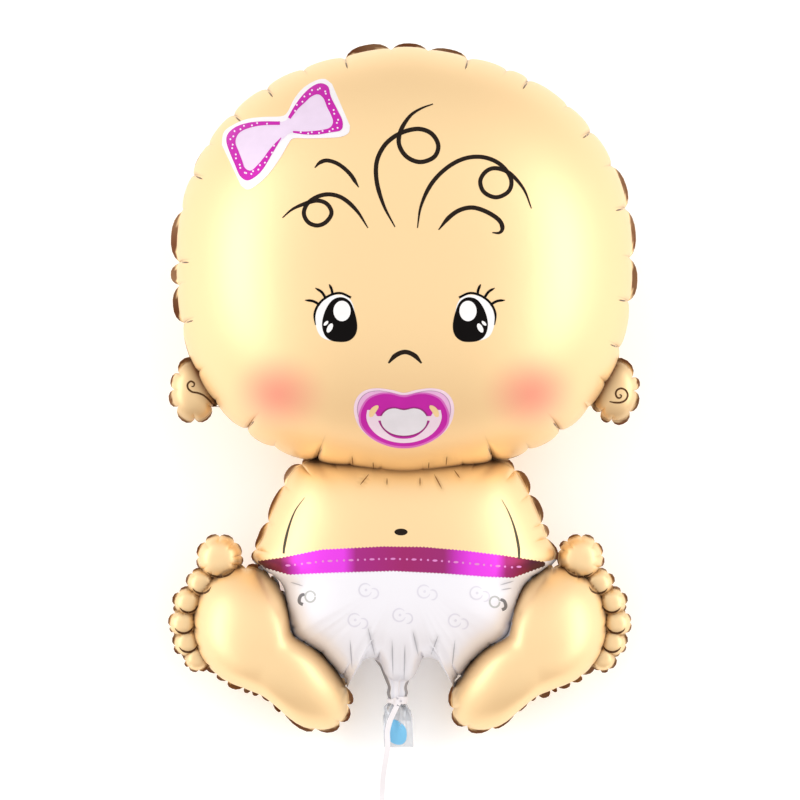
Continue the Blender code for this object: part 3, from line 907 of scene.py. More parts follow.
CREASES = {  # metres over which the painted shade of a crease darkens the foil, and how dark it is at its deepest
    "head": (0.0040, 0.8), "torso": (0.0040, 0.8), "ear": (0.0075, 0.95), "foot": (0.0062, 0.8),
    "toe": (0.0050, 0.45),
}
SEAM_DARK_FROM, SEAM_DARK_OVER, SEAM_WITHIN = 0.0001, 0.0004, 0.006  # painted shade on the flat seam: metres off the sheets, and in height
# painted shade along the deepest puckers, at its darkest
TICK_SHADE = 0.9
# painted shade that darkens each ear towards its lobe
LOBE_SHADE, LOBE_FROM, LOBE_OVER, LOBE_WITHIN = 0.35, 0.012, 0.05, 0.002
# painted shade that greys the nappy towards its lower end
NAPPY_GREY, NAPPY_GREY_FROM, NAPPY_GREY_OVER = 0.16, -0.185, 0.045
NAPPY_CREASES = 0.33  # the nappy's painted crease shade, as a share of its own colour


def painted_shade_share(at, chambers, outside, nearest):
    """How far the foil takes the crease's colour, which is painted shade, at each point.

    It is highest where the next chamber touches and falls off as an exponential of the distance to it. It
    is also high on the flat seam, in faint patches, and along the deepest puckers, where shade is painted
    too.
    """
    order = np.sort(np.maximum(outside, 0), axis=0)
    reach, dark = np.array([CREASES[chamber.kind] for chamber in chambers]).T[:, nearest]
    # painted shade where the next chamber touches, on the flat seam and along the deepest puckers
    crease = dark * np.exp(-order[1] / reach)
    seam = np.clip((order[0] - SEAM_DARK_FROM) / SEAM_DARK_OVER, 0, 1) * (np.abs(at[:, 2]) < SEAM_WITHIN)
    patchy = 0.95 + 0.05 * np.sin(at[:, 0] * 95 + 1.3) * np.sin(at[:, 1] * 83 + 0.4)
    ticks = TICK_SHADE * np.max([chamber.tick(at) for chamber in chambers], axis=0)
    crease = np.max([crease, seam * patchy, ticks], axis=0)
    for chamber in chambers:
        if chamber.kind == "ear":  # painted shade: the ears grow browner towards their lobes
            lobe = LOBE_SHADE * np.clip((chamber.middle[1] + LOBE_FROM - at[:, 1]) / LOBE_OVER, 0, 1)
            on_ear = np.abs(chamber.outside(at)) < LOBE_WITHIN
            crease = np.where(on_ear, np.maximum(crease, lobe), crease)
    return crease


def mark_foil(mesh, chambers, distance):
    """Press the wrinkles in, and give each face its colour slot and each point its crease attribute, its
    share of painted shade.
    """
    at = (coordinates(mesh) - np.array(PLANE.translation)) @ np.array(PLANE.to_3x3())
    outside = np.stack([chamber.outside(at) for chamber in chambers])
    nearest = np.abs(outside).argmin(axis=0)
    torso = np.array([chamber.kind == "torso" for chamber in chambers])[nearest]
    crease = painted_shade_share(at, chambers, outside, nearest)
    # painted shade: greyer towards the nappy's lower end
    low = NAPPY_GREY * np.clip((NAPPY_GREY_FROM - at[:, 1]) / NAPPY_GREY_OVER, 0, 1) * torso
    deep = wrinkle(at, distance)
    # painted shade: darker down the wrinkles, by their depth
    crease = np.max([crease, low, deep / WRINKLE_DARKEST], axis=0)
    at[:, 2] -= deep
    mesh.vertices.foreach_set("co", to_world(at).ravel())
    attribute = mesh.attributes.new("crease", "FLOAT", "POINT")
    attribute.data.foreach_set("value", np.clip(crease, 0, 1).astype(np.float32))
    corner = np.empty(len(mesh.loops), dtype=np.int32)
    mesh.loops.foreach_get("vertex_index", corner)
    first = np.empty(len(mesh.polygons), dtype=np.int32)
    mesh.polygons.foreach_get("loop_start", first)
    lead = corner[first]
    nappy = torso[lead] & (at[lead, 1] < band_line(at[lead, 0]))
    mesh.polygons.foreach_set("material_index", nappy.astype(np.int32))


BAND_TOP = (  # pixels
    (258, 561), (281, 557.8), (321.6, 549.6), (383, 546.5), (423.7, 547), (464.5, 550.6), (505, 555.7),
    (545, 562),
)
BAND_BOTTOM = (
    (258, 566), (289, 574.7), (332, 572.7), (393, 571), (444, 573.5), (485, 576.7), (513, 577.8),
    (545, 566),
)


def band_rows(columns):
    """The pixel rows of the band's upper and lower edge at some pixel columns."""
    return [np.interp(columns, *np.array(edge).T) for edge in (BAND_TOP, BAND_BOTTOM)]


def band_line(x):
    """Y of the band's middle on the seam plane, above which the torso is skin."""
    top, bottom = (on_plane(*np.array(edge).T) for edge in (BAND_TOP, BAND_BOTTOM))
    return (np.interp(x, *top.T) + np.interp(x, *bottom.T)) / 2


class BALLOON_OT_foil(bpy.types.Operator):
    """Make the foil envelope: chambers, seam and filling neck welded into one skin"""

    bl_idname = "balloon.foil"
    bl_label = "Foil envelope"

    def execute(self, context):
        settings = context.scene.balloon_foil
        rng = np.random.default_rng(11)
        chambers = all_chambers(settings.pucker)
        shells = [chamber.surface(*GRIDS[chamber.kind], settings.seam, rng) for chamber in chambers]
        shells.append(neck_surface())
        meshes = [mesh_of("chamber", to_world(points), faces) for points, faces in shells]
        for mesh in meshes:
            turn_outwards(mesh)
        mesh = weld(meshes)
        mesh.materials.clear()
        mark_foil(mesh, chambers, context.scene.balloon_stage.distance)
        at = coordinates(mesh)
        at[:, 2] = np.maximum(at[:, 2], 0)  # the floor presses the backs flat
        mesh.vertices.foreach_set("co", at.ravel())
        mesh.shade_smooth()
        mesh.set_sharp_from_angle(angle=math.radians(50))
        skin = foil_material("skin foil", settings.skin, settings.crease, settings, 0.82, blushes=True)
        # painted shade deep in the nappy's creases
        shade = tuple(NAPPY_CREASES * c for c in settings.nappy)
        white = foil_material("nappy foil", settings.nappy, shade, settings, 0.35)
        foil = piece("foil_skin", mesh, [skin, white])
        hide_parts("foil_envelope")
        return {"FINISHED"}


TAIL_GATHERED = 0.9 * NECK_RADIUS  # half the tail's width at the knot
TAIL_FLARE, TAIL_DRIFT = 3.2, 0.0015  # how fast it reaches its full width, and how far it drifts right
TAIL_FLUTE, TAIL_WAVE = 0.0035, 0.0009  # heights of the flutes at the knot, and of the waves
TAIL_HALF = 0.0002  # half the film's thickness
TAIL_START = 0.002  # below the knot
UPPER_SHEET = 0.38  # share of the tail's length that the upper sheet covers
UPPER_RISE = 0.0009
TAG_PATCH = (
    (389.5, 719.5), (396, 720), (402, 723.5), (406.3, 730), (406, 740), (401, 744.6), (393.5, 743.5),
    (388.6, 738.5), (388.3, 727),
)


class BALLOON_OT_tail(bpy.types.Operator):
    """Make the flat see-through tail below the knot"""

    bl_idname = "balloon.tail"
    bl_label = "Tail"

    def sheet(self, length, left, right, lift):
        """Film that widens from the knot, with flutes that die away downwards as a power of 1.5."""
        down = np.linspace(0, 1, 40)[:, None]
        across = np.linspace(left, right, 49)
        spread = np.clip(TAIL_FLARE * down, 0, 1) ** 0.7
        wide = TAIL_GATHERED + (TAIL_WIDTH / 2 - TAIL_GATHERED) * spread
        flute = (1 - down) ** 1.5 * TAIL_FLUTE * np.sin(9 * across)
        z = lift + flute + TAIL_WAVE * np.sin(4 * across + 3 * down)
        x = NECK_SHIFT + TAIL_DRIFT * down + wide * across
        slant = 2.25 * lift * (across + 1)
        y = np.broadcast_to(KNOT_Y - TAIL_START - (length - TAIL_START) * down - slant, x.shape)
        front = np.stack([x, y, z + TAIL_HALF], axis=-1)
        back = np.stack([x, y, z - TAIL_HALF], axis=-1)[:, ::-1]
        ring = np.concatenate([front, back], axis=1)
        rows, columns = ring.shape[:2]
        faces = closed_grid(rows, columns)
        for first in (0, (rows - 1) * columns):  # the two short edges
            last = first + columns - 1
            faces += [[first + c, first + c + 1, last - 1 - c, last - c] for c in range(columns // 2 - 1)]
        return ring.reshape(-1, 3), faces

    def execute(self, context):
        lower = self.sheet(TAIL_LENGTH, -1.0, 1.0, 0.0)
        upper = self.sheet(UPPER_SHEET * TAIL_LENGTH, -0.96, 0.9, UPPER_RISE)
        points, faces = together([lower, upper])
        film, tree, shader = new_material(
            "tail film", Base_Color=(0.72, 0.74, 0.78), Alpha=0.55, Roughness=0.22, Metallic=0.3
        )
        film_crinkle(tree, shader, 0.25)
        tail = shell_piece("tail_film", to_world(points), faces, [film])
        tag = ink_material("plain tag", context.scene.balloon_print.tag, metallic=0.1)
        printed("tail_tag", [(blob(TAG_PATCH, rings=5), 1, 0)], [tag], tail)
        return {"FINISHED"}


# Prints on the head, in the photograph's pixels.

BOW_EDGE = (  # upper and lower edge of the white border, then of the lilac ribbon inside it
    ((222, 145), (224, 132.5), (233.5, 125), (248, 119), (265, 117), (280, 116.5), (287, 113), (294, 99.5),
     (302.5, 89), (313, 82), (324, 79), (332, 84)),
    ((241, 185.5), (248, 189.5), (258, 184), (269, 173.5), (280.5, 157.5), (288, 144.5), (293.5, 138.5),
     (308, 138.5), (325, 138), (340, 137), (348.5, 133), (350, 126)),
)
BOW_RIBBON = (
    ((228, 148), (229.5, 136), (240, 127), (254, 123.5), (268, 122.5), (281, 122), (288, 118.5), (296, 106),
     (306, 94.5), (316, 87), (327, 88)),
    ((241, 175), (249, 178), (259, 169), (268, 157), (276, 146), (284, 138), (291, 133), (304, 133),
     (318, 133), (331, 131), (341, 127)),
)
BOW_LOOPS = (  # outer and inner edge of each loop's magenta
    (((280, 121.5), (262, 121.5), (248, 123), (236, 127), (228, 134), (226.5, 142), (230, 153), (235, 165),
      (240, 176), (247, 180.5), (255, 177), (263, 169), (272, 154), (281.5, 138)),
     ((280, 125), (262, 125.5), (248, 128.5), (239, 133.5), (235.5, 142), (238.5, 151), (242, 160),
      (245, 168), (251, 170.5), (257.5, 165), (263.5, 158), (268.5, 151), (274, 144.5), (281, 137.6))),
    (((288, 117.5), (294, 107), (302, 96), (311, 87.5), (320, 83.5), (328, 86.5), (331, 97), (337, 109),
      (342.5, 121), (341, 130), (330, 132.5), (318, 134.5), (305, 134.5), (293, 132.8)),
     ((290.5, 119), (298, 109), (305, 102.5), (311, 97), (318, 94.5), (323.5, 98.5), (327, 107), (331, 115),
      (333, 122), (330, 127.5), (322, 130), (313, 131), (304, 131.5), (293, 131))),
)
BOW_SPOT, SPOT_SHIFT = 0.95, (0.9, 0.6)  # radius, and the way from the magenta's middle, to either side


class BALLOON_OT_bow(bpy.types.Operator):
    """Print the bow: a white border, lilac ribbon and spotted magenta edges"""

    bl_idname = "balloon.bow"
    bl_label = "Bow"

    def execute(self, context):
        colours = context.scene.balloon_print
        inks = [
            ink_material("bow border", (0.95, 0.92, 0.95)), ink_material("bow ribbon", colours.lilac),
            ink_material("bow edges", colours.magenta, metallic=0.45),
            ink_material("bow spots", (0.95, 0.78, 0.93)),
        ]
        shapes = [(between(*BOW_EDGE, per=8, columns=26), 2, 0), (between(*BOW_RIBBON, columns=20), 3, 1)]
        for outer, inner in BOW_LOOPS:
            shapes.append((between(outer, inner), 4, 2))
            line = smooth_curve(np.array([outer, inner]).mean(axis=0), 0, per=4)
            for k, spot in enumerate(line[3:-3:2]):
                spot = spot + np.array(SPOT_SHIFT) * (-1) ** k
                shapes.append((round_blob(spot, BOW_SPOT, BOW_SPOT, rings=1, count=10), 5, 3))
        printed("bow_print", shapes, inks)
        return {"FINISHED"}


CURL_STROKES = (  # points and width in pixels
    (((314.7, 167.8), (320, 162.5), (327.7, 160.5), (339, 164.5), (350, 174), (358.7, 187.3)), 4.0),
    (((282.4, 217.8), (292, 209.5), (304, 204), (317, 200.6), (327, 204), (331.5, 213), (326, 222),
      (317, 225.5), (308, 222), (303.8, 213), (308, 203), (319, 196), (331.4, 194.5), (344, 199),
      (357, 211), (368, 228)), 4.2),
    (((395, 227), (384, 206), (377, 183), (376.5, 163), (383, 147.5), (393, 137.5), (406, 131), (420, 129),
      (432, 134), (438.3, 145.5), (434, 157), (420, 162), (406.5, 156.5), (399, 144), (401, 130), (410, 116),
      (421, 108.5), (433, 104)), 4.4),
    (((417.4, 228), (421, 206), (431, 184.5), (446, 168.5), (463, 159), (480, 156.8), (495, 161), (506, 170),
      (511.5, 181.5), (508, 192), (496, 197.3), (484, 192), (480.3, 181), (486, 171.5), (496, 168.2),
      (510, 173.5), (523.7, 189), (531.5, 208.5)), 4.2),
    (((438.6, 229.8), (449, 217.5), (460, 210), (473, 207.6), (487, 212), (499, 220), (502.5, 228),
      (499.5, 232.8), (492.3, 232.6)), 4.4),
)


class BALLOON_OT_curls(bpy.types.Operator):
    """Print the brushed curls of hair"""

    bl_idname = "balloon.curls"
    bl_label = "Curls"

    def execute(self, context):
        ink = ink_material("hair ink", context.scene.balloon_print.ink)
        strokes = [stroke(points, width, swell=5.0) for points, width in CURL_STROKES]
        printed("curls_print", [(shape, 1 + 0.15 * k, 0) for k, shape in enumerate(strokes)], [ink])
        return {"FINISHED"}


EYE_AXIS = 405.0  # pixel column between the eyes
EYE_WHITE = ((341, 294.8), (331, 296), (322.5, 301.5), (317, 310), (315.3, 320), (317.5, 331), (323, 338),
             (335, 341), (348, 338), (355, 325), (354, 308), (349, 298))
PUPIL = ((340, 297.2), (332.5, 300), (326.5, 308), (322.9, 318), (322.2, 327), (325, 335.5), (331, 340.5),
         (339.5, 342), (348.5, 341), (355, 335.5), (357.2, 327), (355.7, 316), (351.5, 304), (346.5, 298.8))
LID = ((315.4, 325), (314.4, 315.5), (317, 307), (323, 299.7), (332, 294.5), (341, 293.2), (351, 297.6))
LASHES = (((319.8, 305), (313, 301.2), (304.8, 300.2)), ((325.8, 298.4), (321.5, 292), (315.2, 288)),
          ((332.4, 294.4), (331.6, 289.5), (329.2, 284.2)))
GLINTS = (((342, 311), 8.6, 10.2, 0), ((329.8, 328), 2.5, 5.0, 28), ((326, 323.3), 1.5, 3.0, 45))


class BALLOON_OT_eyes(bpy.types.Operator):
    """Print the left eye, and its mirror image about the face's axis"""

    bl_idname = "balloon.eyes"
    bl_label = "Eyes"

    def execute(self, context):
        ink = ink_material("eye ink", context.scene.balloon_print.eye, metallic=0.0, gloss=0.03)
        white = ink_material("eye white", (0.96, 0.95, 0.95), metallic=0.1)
        shapes = []
        for side in (1, -1):

            def at(points):
                return points if side == 1 else mirrored(points, EYE_AXIS)

            shapes.append((blob(at(EYE_WHITE), 5), 1, 1))
            shapes.append((blob(at(PUPIL), 5), 2, 0))
            shapes.append((stroke(at(LID), 2.3, (0.4, 1.0)), 2.4, 0))
            shapes += [(stroke(at(lash), 2.5, (1.0, 0.25)), 2.8, 0) for lash in LASHES]
            for middle, across, up, tilt in GLINTS:
                shapes.append((round_blob(at([middle])[0], across, up, tilt=side * tilt), 3, 1))
        printed("eyes_print", shapes, [ink, white])
        return {"FINISHED"}


NOSE = ((388.4, 363.2), (395.5, 355.5), (405.0, 352.0), (414.5, 355.5), (421.6, 363.2))
DUMMY_AXIS = 404.0
DUMMY_MIDDLE = (DUMMY_AXIS, 417)
DUMMY_EDGE = ((404, 392.8), (391, 389.8), (377, 388.2), (365, 390.5), (357, 397.5), (353.8, 408),
              (356, 420.5), (363, 431.5), (374.5, 440.5), (388, 446), (404, 448.3))
DUMMY_SHIELD = ((404, 397.2), (391, 394.4), (380, 394.6), (369.5, 398.8), (363.6, 406.5), (360.6, 415.5),
                (362, 425), (368.4, 433.4), (378.8, 440.4), (391, 444.9), (404, 446.4))
DUMMY_RING = (  # outer and inner edge of the handle, left half
    ((367.2, 410), (366.4, 418), (369.8, 427), (378, 435.5), (390, 441), (404, 443)),
    ((373, 410), (377, 416), (379, 423), (384.5, 430.8), (393.5, 437), (404, 438.7)),
)
DUMMY_KNOB = ((404, 410.2), (394.5, 408.4), (387, 410.2), (382.3, 415), (380.8, 420.5), (383.3, 427),
              (389, 432), (396, 434.7), (404, 435.6))
DUMMY_PIN = (374, 417.8), (379, 418.4), (384, 418)  # where the handle meets the shield, on the left
DUMMY_SLOT = ((377.6, 405.2), (373.4, 406.6), (369.6, 411), (369.2, 416.4), (372.6, 416.8), (375.8, 412),
              (378.6, 407.6))


class BALLOON_OT_nose_and_dummy(bpy.types.Operator):
    """Print the nose and the baby's dummy"""

    bl_idname = "balloon.nose_and_dummy"
    bl_label = "Nose and dummy"

    def execute(self, context):
        colours = context.scene.balloon_print
        ink = ink_material("nose ink", colours.ink)
        printed("nose_print", [(stroke(NOSE, 4.6, (0.35, 0.35)), 1, 0)], [ink])
        tints = (
            ("border", (0.95, 0.74, 0.88)), ("line", (0.52, 0.33, 0.50)), ("gloss", (0.86, 0.50, 0.80)),
            ("shield", colours.magenta), ("handle", (0.90, 0.74, 0.86)), ("knob", (0.82, 0.80, 0.86)),
            ("slots", (0.93, 0.68, 0.36)), ("shade", (0.34, 0.03, 0.22)), ("rim", (0.72, 0.16, 0.58)),
        )
        inks = [
            ink_material(f"dummy {name}", tint, metallic=0.45 if name == "shield" else 0.35)
            for name, tint in tints
        ]
        halves = DUMMY_EDGE, DUMMY_SHIELD, DUMMY_KNOB
        edge, shield, knob = (both_halves(half, DUMMY_AXIS) for half in halves)
        ring = [[*half, *mirrored(half[:-1], DUMMY_AXIS)[::-1]] for half in DUMMY_RING]
        plates = (  # outline, pixels grown by, layer and ink, from the bottom up
            (edge, 0, 1, 0), (edge, -3.3, 1.8, 1), (edge, -4.1, 2.6, 2), (shield, 2.0, 3.2, 8),
            (shield, 0, 3.8, 3),
        )
        shapes = [(blob(line, 8, grow, DUMMY_MIDDLE), layer, ink) for line, grow, layer, ink in plates]
        shapes += [(blob(knob, 5, 1.7), 4.4, 7), (between(*ring), 4.8, 4), (blob(knob, 5), 5.4, 5)]
        pins, slots = ((left, mirrored(left, DUMMY_AXIS)) for left in (DUMMY_PIN, DUMMY_SLOT))
        shapes += [(stroke(pin, 4.4, (1, 1)), 5.1, 4) for pin in pins]
        shapes += [(blob(slot, 2), 5.6, 6) for slot in slots]
        printed("dummy_print", shapes, inks)
        return {"FINISHED"}


# Prints on the body.

ARM_LINES = (((304.5, 497.5), (295, 511), (288.5, 528), (284.5, 545), (283.5, 553.5)),
             ((501.7, 499.5), (508.5, 512), (514.5, 528), (518.5, 546), (519.2, 559)))
NAVEL = ((401, 532), 6.6, 3.4)
PINS = ((306.3, 598.2, 1), (498.6, 603.5, -1))  # middle, and which way the pin leans
PIN_CLASP = ((-1.8, -4.0), (-5.4, -2.6), (-7.2, 1.6), (-6.4, 4.8), (-3.4, 6.2))  # from the pin's middle
MOTIFS = ((365.4, 590), (424, 591.5), (476.5, 593), (354.6, 620), (399.4, 615), (455, 620.5))
BAND_FRONT, BAND_BACK, BAND_STEP = (258.0, 546.0), (266.0, 538.0), 0.9  # pixel columns
PICOT_HEIGHT, PICOT_LENGTH = 0.55, 3.6
BAND_MARKS = np.arange(288.0, 522.0, 7.0)  # pixel columns of the band's dashes and dots


class BALLOON_OT_body_prints(bpy.types.Operator):
    """Print the arms' lines, the navel, the band and the nappy's pins and rings, with strokes of painted
    shade down the wrinkles
    """

    bl_idname = "balloon.body_prints"
    bl_label = "Body prints"

    def band(self, ends):
        """A strip between the band's two edges, whose picots are a small wave."""
        column = np.arange(*ends, BAND_STEP)
        picot = PICOT_HEIGHT * np.sin(CIRCLE * column / PICOT_LENGTH)
        top, bottom = band_rows(column)
        share = np.linspace(0, 1, 9)
        rows = (top + picot)[:, None] * (1 - share) + (bottom - picot)[:, None] * share
        return ("strip", np.stack([np.broadcast_to(column[:, None], rows.shape), rows], axis=-1))

    def folds(self, width, above, finish):
        """Fine strokes of painted shade down the wrinkles above or below the navel."""
        ends = [line for *line, _ in WRINKLES if (line[0][1] < NAVEL[0][1]) == above]
        return [(stroke(line, width, (0.1, 0.1)), 1, finish) for line in ends]

    def pin(self, x, y, lean):
        """A safety pin: a thick clasp and the ring of its wire."""
        clasp = [(x + across * lean, y + down) for across, down in PIN_CLASP]
        ring = arc((x + 3.9 * lean, y - 1.6), 5.0, 0, 352, 18, 1.08)
        return [(stroke(ring, 1.8, (1, 1)), 1, 3), (stroke(clasp, 3.2, (0.7, 1.0)), 1.5, 0)]

    def motif(self, x, y):
        """A ring open at one side, with a dot in it and a loop beside it."""
        return [
            (stroke(arc((x, y), 6.4, 20, 320, 14), 1.6, (0.4, 0.4)), 1, 1),
            (round_blob((x + 0.6, y), 1.4, 1.4, rings=1, count=12), 1, 1),
            (stroke(arc((x + 8.0, y + 3.4), 5.0, -110, 100, 10), 1.6, (0.4, 0.4)), 1, 1),
        ]

    def execute(self, context):
        inks = [
            ink_material("body ink", context.scene.balloon_print.ink),
            ink_material("arm ink", (0.085, 0.075, 0.050)), ink_material("fold brown", (0.26, 0.12, 0.045)),
        ]
        shapes = [(stroke(line, 2.6, (0.15, 0.8), swell=1.2), 1, 1) for line in ARM_LINES]
        # the fold brown strokes are painted shade down the torso's wrinkles
        printed("body_lines_print", [*shapes, (round_blob(*NAVEL), 1, 0), *self.folds(1.0, True, 2)], inks)

        magenta = band_material("band foil")
        marks = ink_material("band marks", (0.80, 0.28, 0.66), metallic=0.6)
        middles = np.stack([BAND_MARKS, np.mean(band_rows(BAND_MARKS), axis=0)], axis=-1)
        spots = [
            (round_blob(middle, (2.6, 1.1, 1.1)[k % 3], 1.1, rings=1, count=14), 2, 1)
            for k, middle in enumerate(middles)
        ]
        printed("band_front_print", [(self.band(BAND_FRONT), 1, 0), *spots], [magenta, marks])
        printed("band_back_print", [(self.band(BAND_BACK), 1, 0)], [magenta], side=-1.0)

        inks = [
            ink_material("pin grey", (0.22, 0.22, 0.24)), ink_material("faint rings", (0.80, 0.78, 0.86)),
            ink_material("fold grey", (0.50, 0.49, 0.54)), ink_material("pin wire", (0.56, 0.57, 0.56)),
        ]
        # painted shade: fold grey strokes down the nappy's wrinkles
        shapes = self.folds(1.1, False, 2)
        shapes += [shape for place in PINS for shape in self.pin(*place)]
        shapes += [shape for place in MOTIFS for shape in self.motif(*place)]
        printed("nappy_print", shapes, inks)
        return {"FINISHED"}


BIG_TOE_ARC, TOE_ARC = (35, 130), (18, 150)  # degrees from the picture's right down, for the left foot
BIG_TOE_REACH, TOE_REACH = 0.88, 0.74  # the arc's radius as a share of the toe's


def toe_arcs():
    """A line under each toe but the last: part of a circle round the toe's middle, in pixels."""
    arcs = []
    for side in (-1, 1):
        _, place = foot_frame(side)
        for along, across, radius in TOES[:5]:
            big = radius > BIG_TOE_OVER
            far = radius * FOOT_LENGTH / PIXEL * (BIG_TOE_REACH if big else TOE_REACH)
            ends = BIG_TOE_ARC if big else TOE_ARC
            if side > 0:
                ends = [180 - end for end in ends]
            arcs.append(arc(in_pixels(*place(along, across)), far, *ends))
    return arcs


TICK_INSET, TICK_LENGTH = 0.0016, 0.0080


def rim_ticks():
    """A short line of painted shade down each deep crease of the head's rim, from just inside the foil's
    edge, in pixels.
    """
    reach = head_outline()
    ticks = []
    for angle, depth, _ in HEAD_CREASES:
        angle = math.radians(angle)
        edge = float(reach(np.array([angle]))[0]) - SEAM_INSET - depth - TICK_INSET
        out = np.array([math.cos(angle), math.sin(angle)])
        ticks.append([in_pixels(*(head_middle() + r * out)) for r in (edge, edge - TICK_LENGTH)])
    return ticks


EAR_SWIRLS = (
    ((215, 407), (210, 401), (204, 395.6), (198, 393), (192, 391.8), (188.2, 388.6), (187.6, 384.2),
     (190.8, 381.3), (194.2, 383.2), (193.6, 386.4), (191.4, 386.4)),
    ((609.5, 401.6), (615, 402.6), (621, 402.4), (625.8, 399.8), (627.8, 395), (625.6, 390.2), (621, 388.4),
     (617, 390.2), (615.7, 394), (617.4, 397.6), (620.4, 397.8), (621.4, 395.4), (619.6, 394.6)),
)


class BALLOON_OT_toe_and_ear_prints(bpy.types.Operator):
    """Print the line under each toe, the swirl in each ear, and a line of painted shade in each crease of the
    head's rim
    """

    bl_idname = "balloon.toe_and_ear_prints"
    bl_label = "Toe and ear prints"

    def execute(self, context):
        inks = [
            ink_material("fold ink", (0.10, 0.045, 0.018)), ink_material("rim crease", (0.19, 0.12, 0.070)),
        ]
        shapes = [(stroke(line, 2.0, (0.15, 0.15)), 1.5, 0) for line in toe_arcs()]
        shapes += [(stroke(swirl, 1.9, (0.6, 0.6), step=1.0), 1.5, 0) for swirl in EAR_SWIRLS]
        # painted shade: a dark line down each deep crease of the head's rim
        shapes += [(stroke(ends, 1.5, (0.5, 0.1), step=1.0), 1, 1) for ends in rim_ticks()]
        printed("toe_and_ear_print", shapes, inks)
        return {"FINISHED"}


# Ribbon.

RIBBON_SECTION = np.array(  # a rounded rectangle, in half widths and half thicknesses
    [(-1, -0.4), (-0.6, -1), (0.6, -1), (1, -0.4), (1, 0.4), (0.6, 1), (-0.6, 1), (-1, 0.4)]
)
EDGE_ON_BELOW, EDGE_ON_OVER = -0.452, 0.02  # Y where the ribbon turns onto its edge, and over what length
COIL_FROM = 46  # the path's first point that is in the coil
WRAP_WIDTH, WRAP_THICKNESS, WRAP_CLEARANCE = 0.0042, 0.0005, 0.0005
WRAP_SWAY, WRAP_SPREAD = 0.0018, 0.0014  # how far the turns slant, and spread either way along the neck
LOOP_WIDTH, LOOP_THICKNESS = 0.0040, 0.0006
LOOP_SIZE, LOOP_OUT = (0.0042, 0.0026, 0.0016), 0.0032  # half sizes across, along and out, and how far out


def coil_path():
    """Turns that widen by the pitch each, from the outermost inwards."""
    turns = np.linspace(0, CIRCLE * COIL_TURNS, 40 * COIL_TURNS)
    outermost = COIL_MEAN_DIAMETER / 2 + COIL_PITCH * (COIL_TURNS - 1) / 2 + COIL_PITCH / 2
    far = outermost - COIL_PITCH * turns / CIRCLE
    angle = math.pi + turns
    x, y = COIL_MIDDLE[0] + far * np.cos(angle), COIL_MIDDLE[1] + far * np.sin(angle)
    return np.stack([x, y, np.full_like(angle, RIBBON_WIDTH / 2 + 0.0005)], axis=-1)


def ribbon_strip(path, aside, width, thickness):
    """A flat strip along a path, its width the way `aside` points."""
    along = np.gradient(path, axis=0)
    along /= np.linalg.norm(along, axis=1)[:, None]
    aside = aside - (aside * along).sum(axis=1)[:, None] * along
    aside /= np.linalg.norm(aside, axis=1)[:, None]
    up = np.cross(along, aside)
    across, through = RIBBON_SECTION[:, :1] * width / 2, RIBBON_SECTION[:, 1:] * thickness / 2
    return tube(path[:, None] + aside[:, None] * across + up[:, None] * through)


class BALLOON_OT_ribbon(bpy.types.Operator):
    """Make the curling ribbon and the knot that ties the neck"""

    bl_idname = "balloon.ribbon"
    bl_label = "Ribbon"

    def execute(self, context):
        settings = context.scene.balloon_ribbon
        film, tree, shader = new_material(
            "curling ribbon", Base_Color=settings.colour, Roughness=0.28, Sheen_Weight=0.2
        )
        film_crinkle(tree, shader, 0.15)

        path = np.concatenate([smooth_curve(RIBBON_ROUTE, 0.004), coil_path()])
        path = smooth_curve(path[::3], 0.003)
        on_edge = np.clip((EDGE_ON_BELOW - path[:, 1]) / EDGE_ON_OVER, 0, 1)
        on_edge[COIL_FROM:] = 1
        aside = np.stack([1 - on_edge, np.zeros(len(path)), on_edge], axis=-1)
        points, faces = ribbon_strip(path, aside, RIBBON_WIDTH, RIBBON_THICKNESS)
        ribbon = shell_piece("curling_ribbon", points, faces, [film])
        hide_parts("ribbon", "ribbon_coil")

        points, faces = self.knot(settings.wraps)
        knot = shell_piece("knot", points, faces, [film])
        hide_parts("ribbon_knot")
        return {"FINISHED"}

    def knot(self, wraps):
        """Turns of ribbon round the neck, each a strip on a slanted circle, with a folded knot in front."""
        count = 72 * wraps
        angle = np.linspace(0, CIRCLE * wraps, count) + math.pi / 2
        far = NECK_RADIUS * 1.08 + WRAP_CLEARANCE + WRAP_THICKNESS * np.linspace(0, wraps, count)
        y = KNOT_Y + WRAP_SWAY * np.sin(angle * 0.37) + np.linspace(-WRAP_SPREAD, WRAP_SPREAD, count)
        path = np.stack([NECK_SHIFT + far * np.cos(angle), y, far * np.sin(angle)], axis=-1)
        turns = ribbon_strip(path, np.tile([0.0, 1.0, 0.1], (count, 1)), WRAP_WIDTH, WRAP_THICKNESS)
        turn = np.linspace(0, CIRCLE, 60)
        across, along, out = LOOP_SIZE
        loop = np.stack([
            NECK_SHIFT + across * np.sin(turn), KNOT_Y - 0.0004 + along * np.sin(2 * turn),
            NECK_RADIUS + LOOP_OUT + out * np.cos(turn * 2),
        ], axis=-1)
        fold = ribbon_strip(loop, np.tile([0.2, 1.0, 0.3], (60, 1)), LOOP_WIDTH, LOOP_THICKNESS)
        points, faces = together([turns, fold])
        return to_world(points), faces


# Stage.

SENSOR = 36.0  # millimetres
SOFTBOX_SIDES = math.radians(-56), math.radians(52)  # each softbox's angle from the camera's axis
SOFTBOX_AWAY = 1.7
SOFTBOX_SIZE = (1.65, 0.62)
FLOOR_HALF, FLOOR_DROP = 4.0, 0.0005
WARM = (0.62, 0.50, 0.42)  # the room's tint past the crown and the tail
SIDES_GAIN, ENDS_DIM, TAIL_DIM = 0.42, 0.45, 0.55


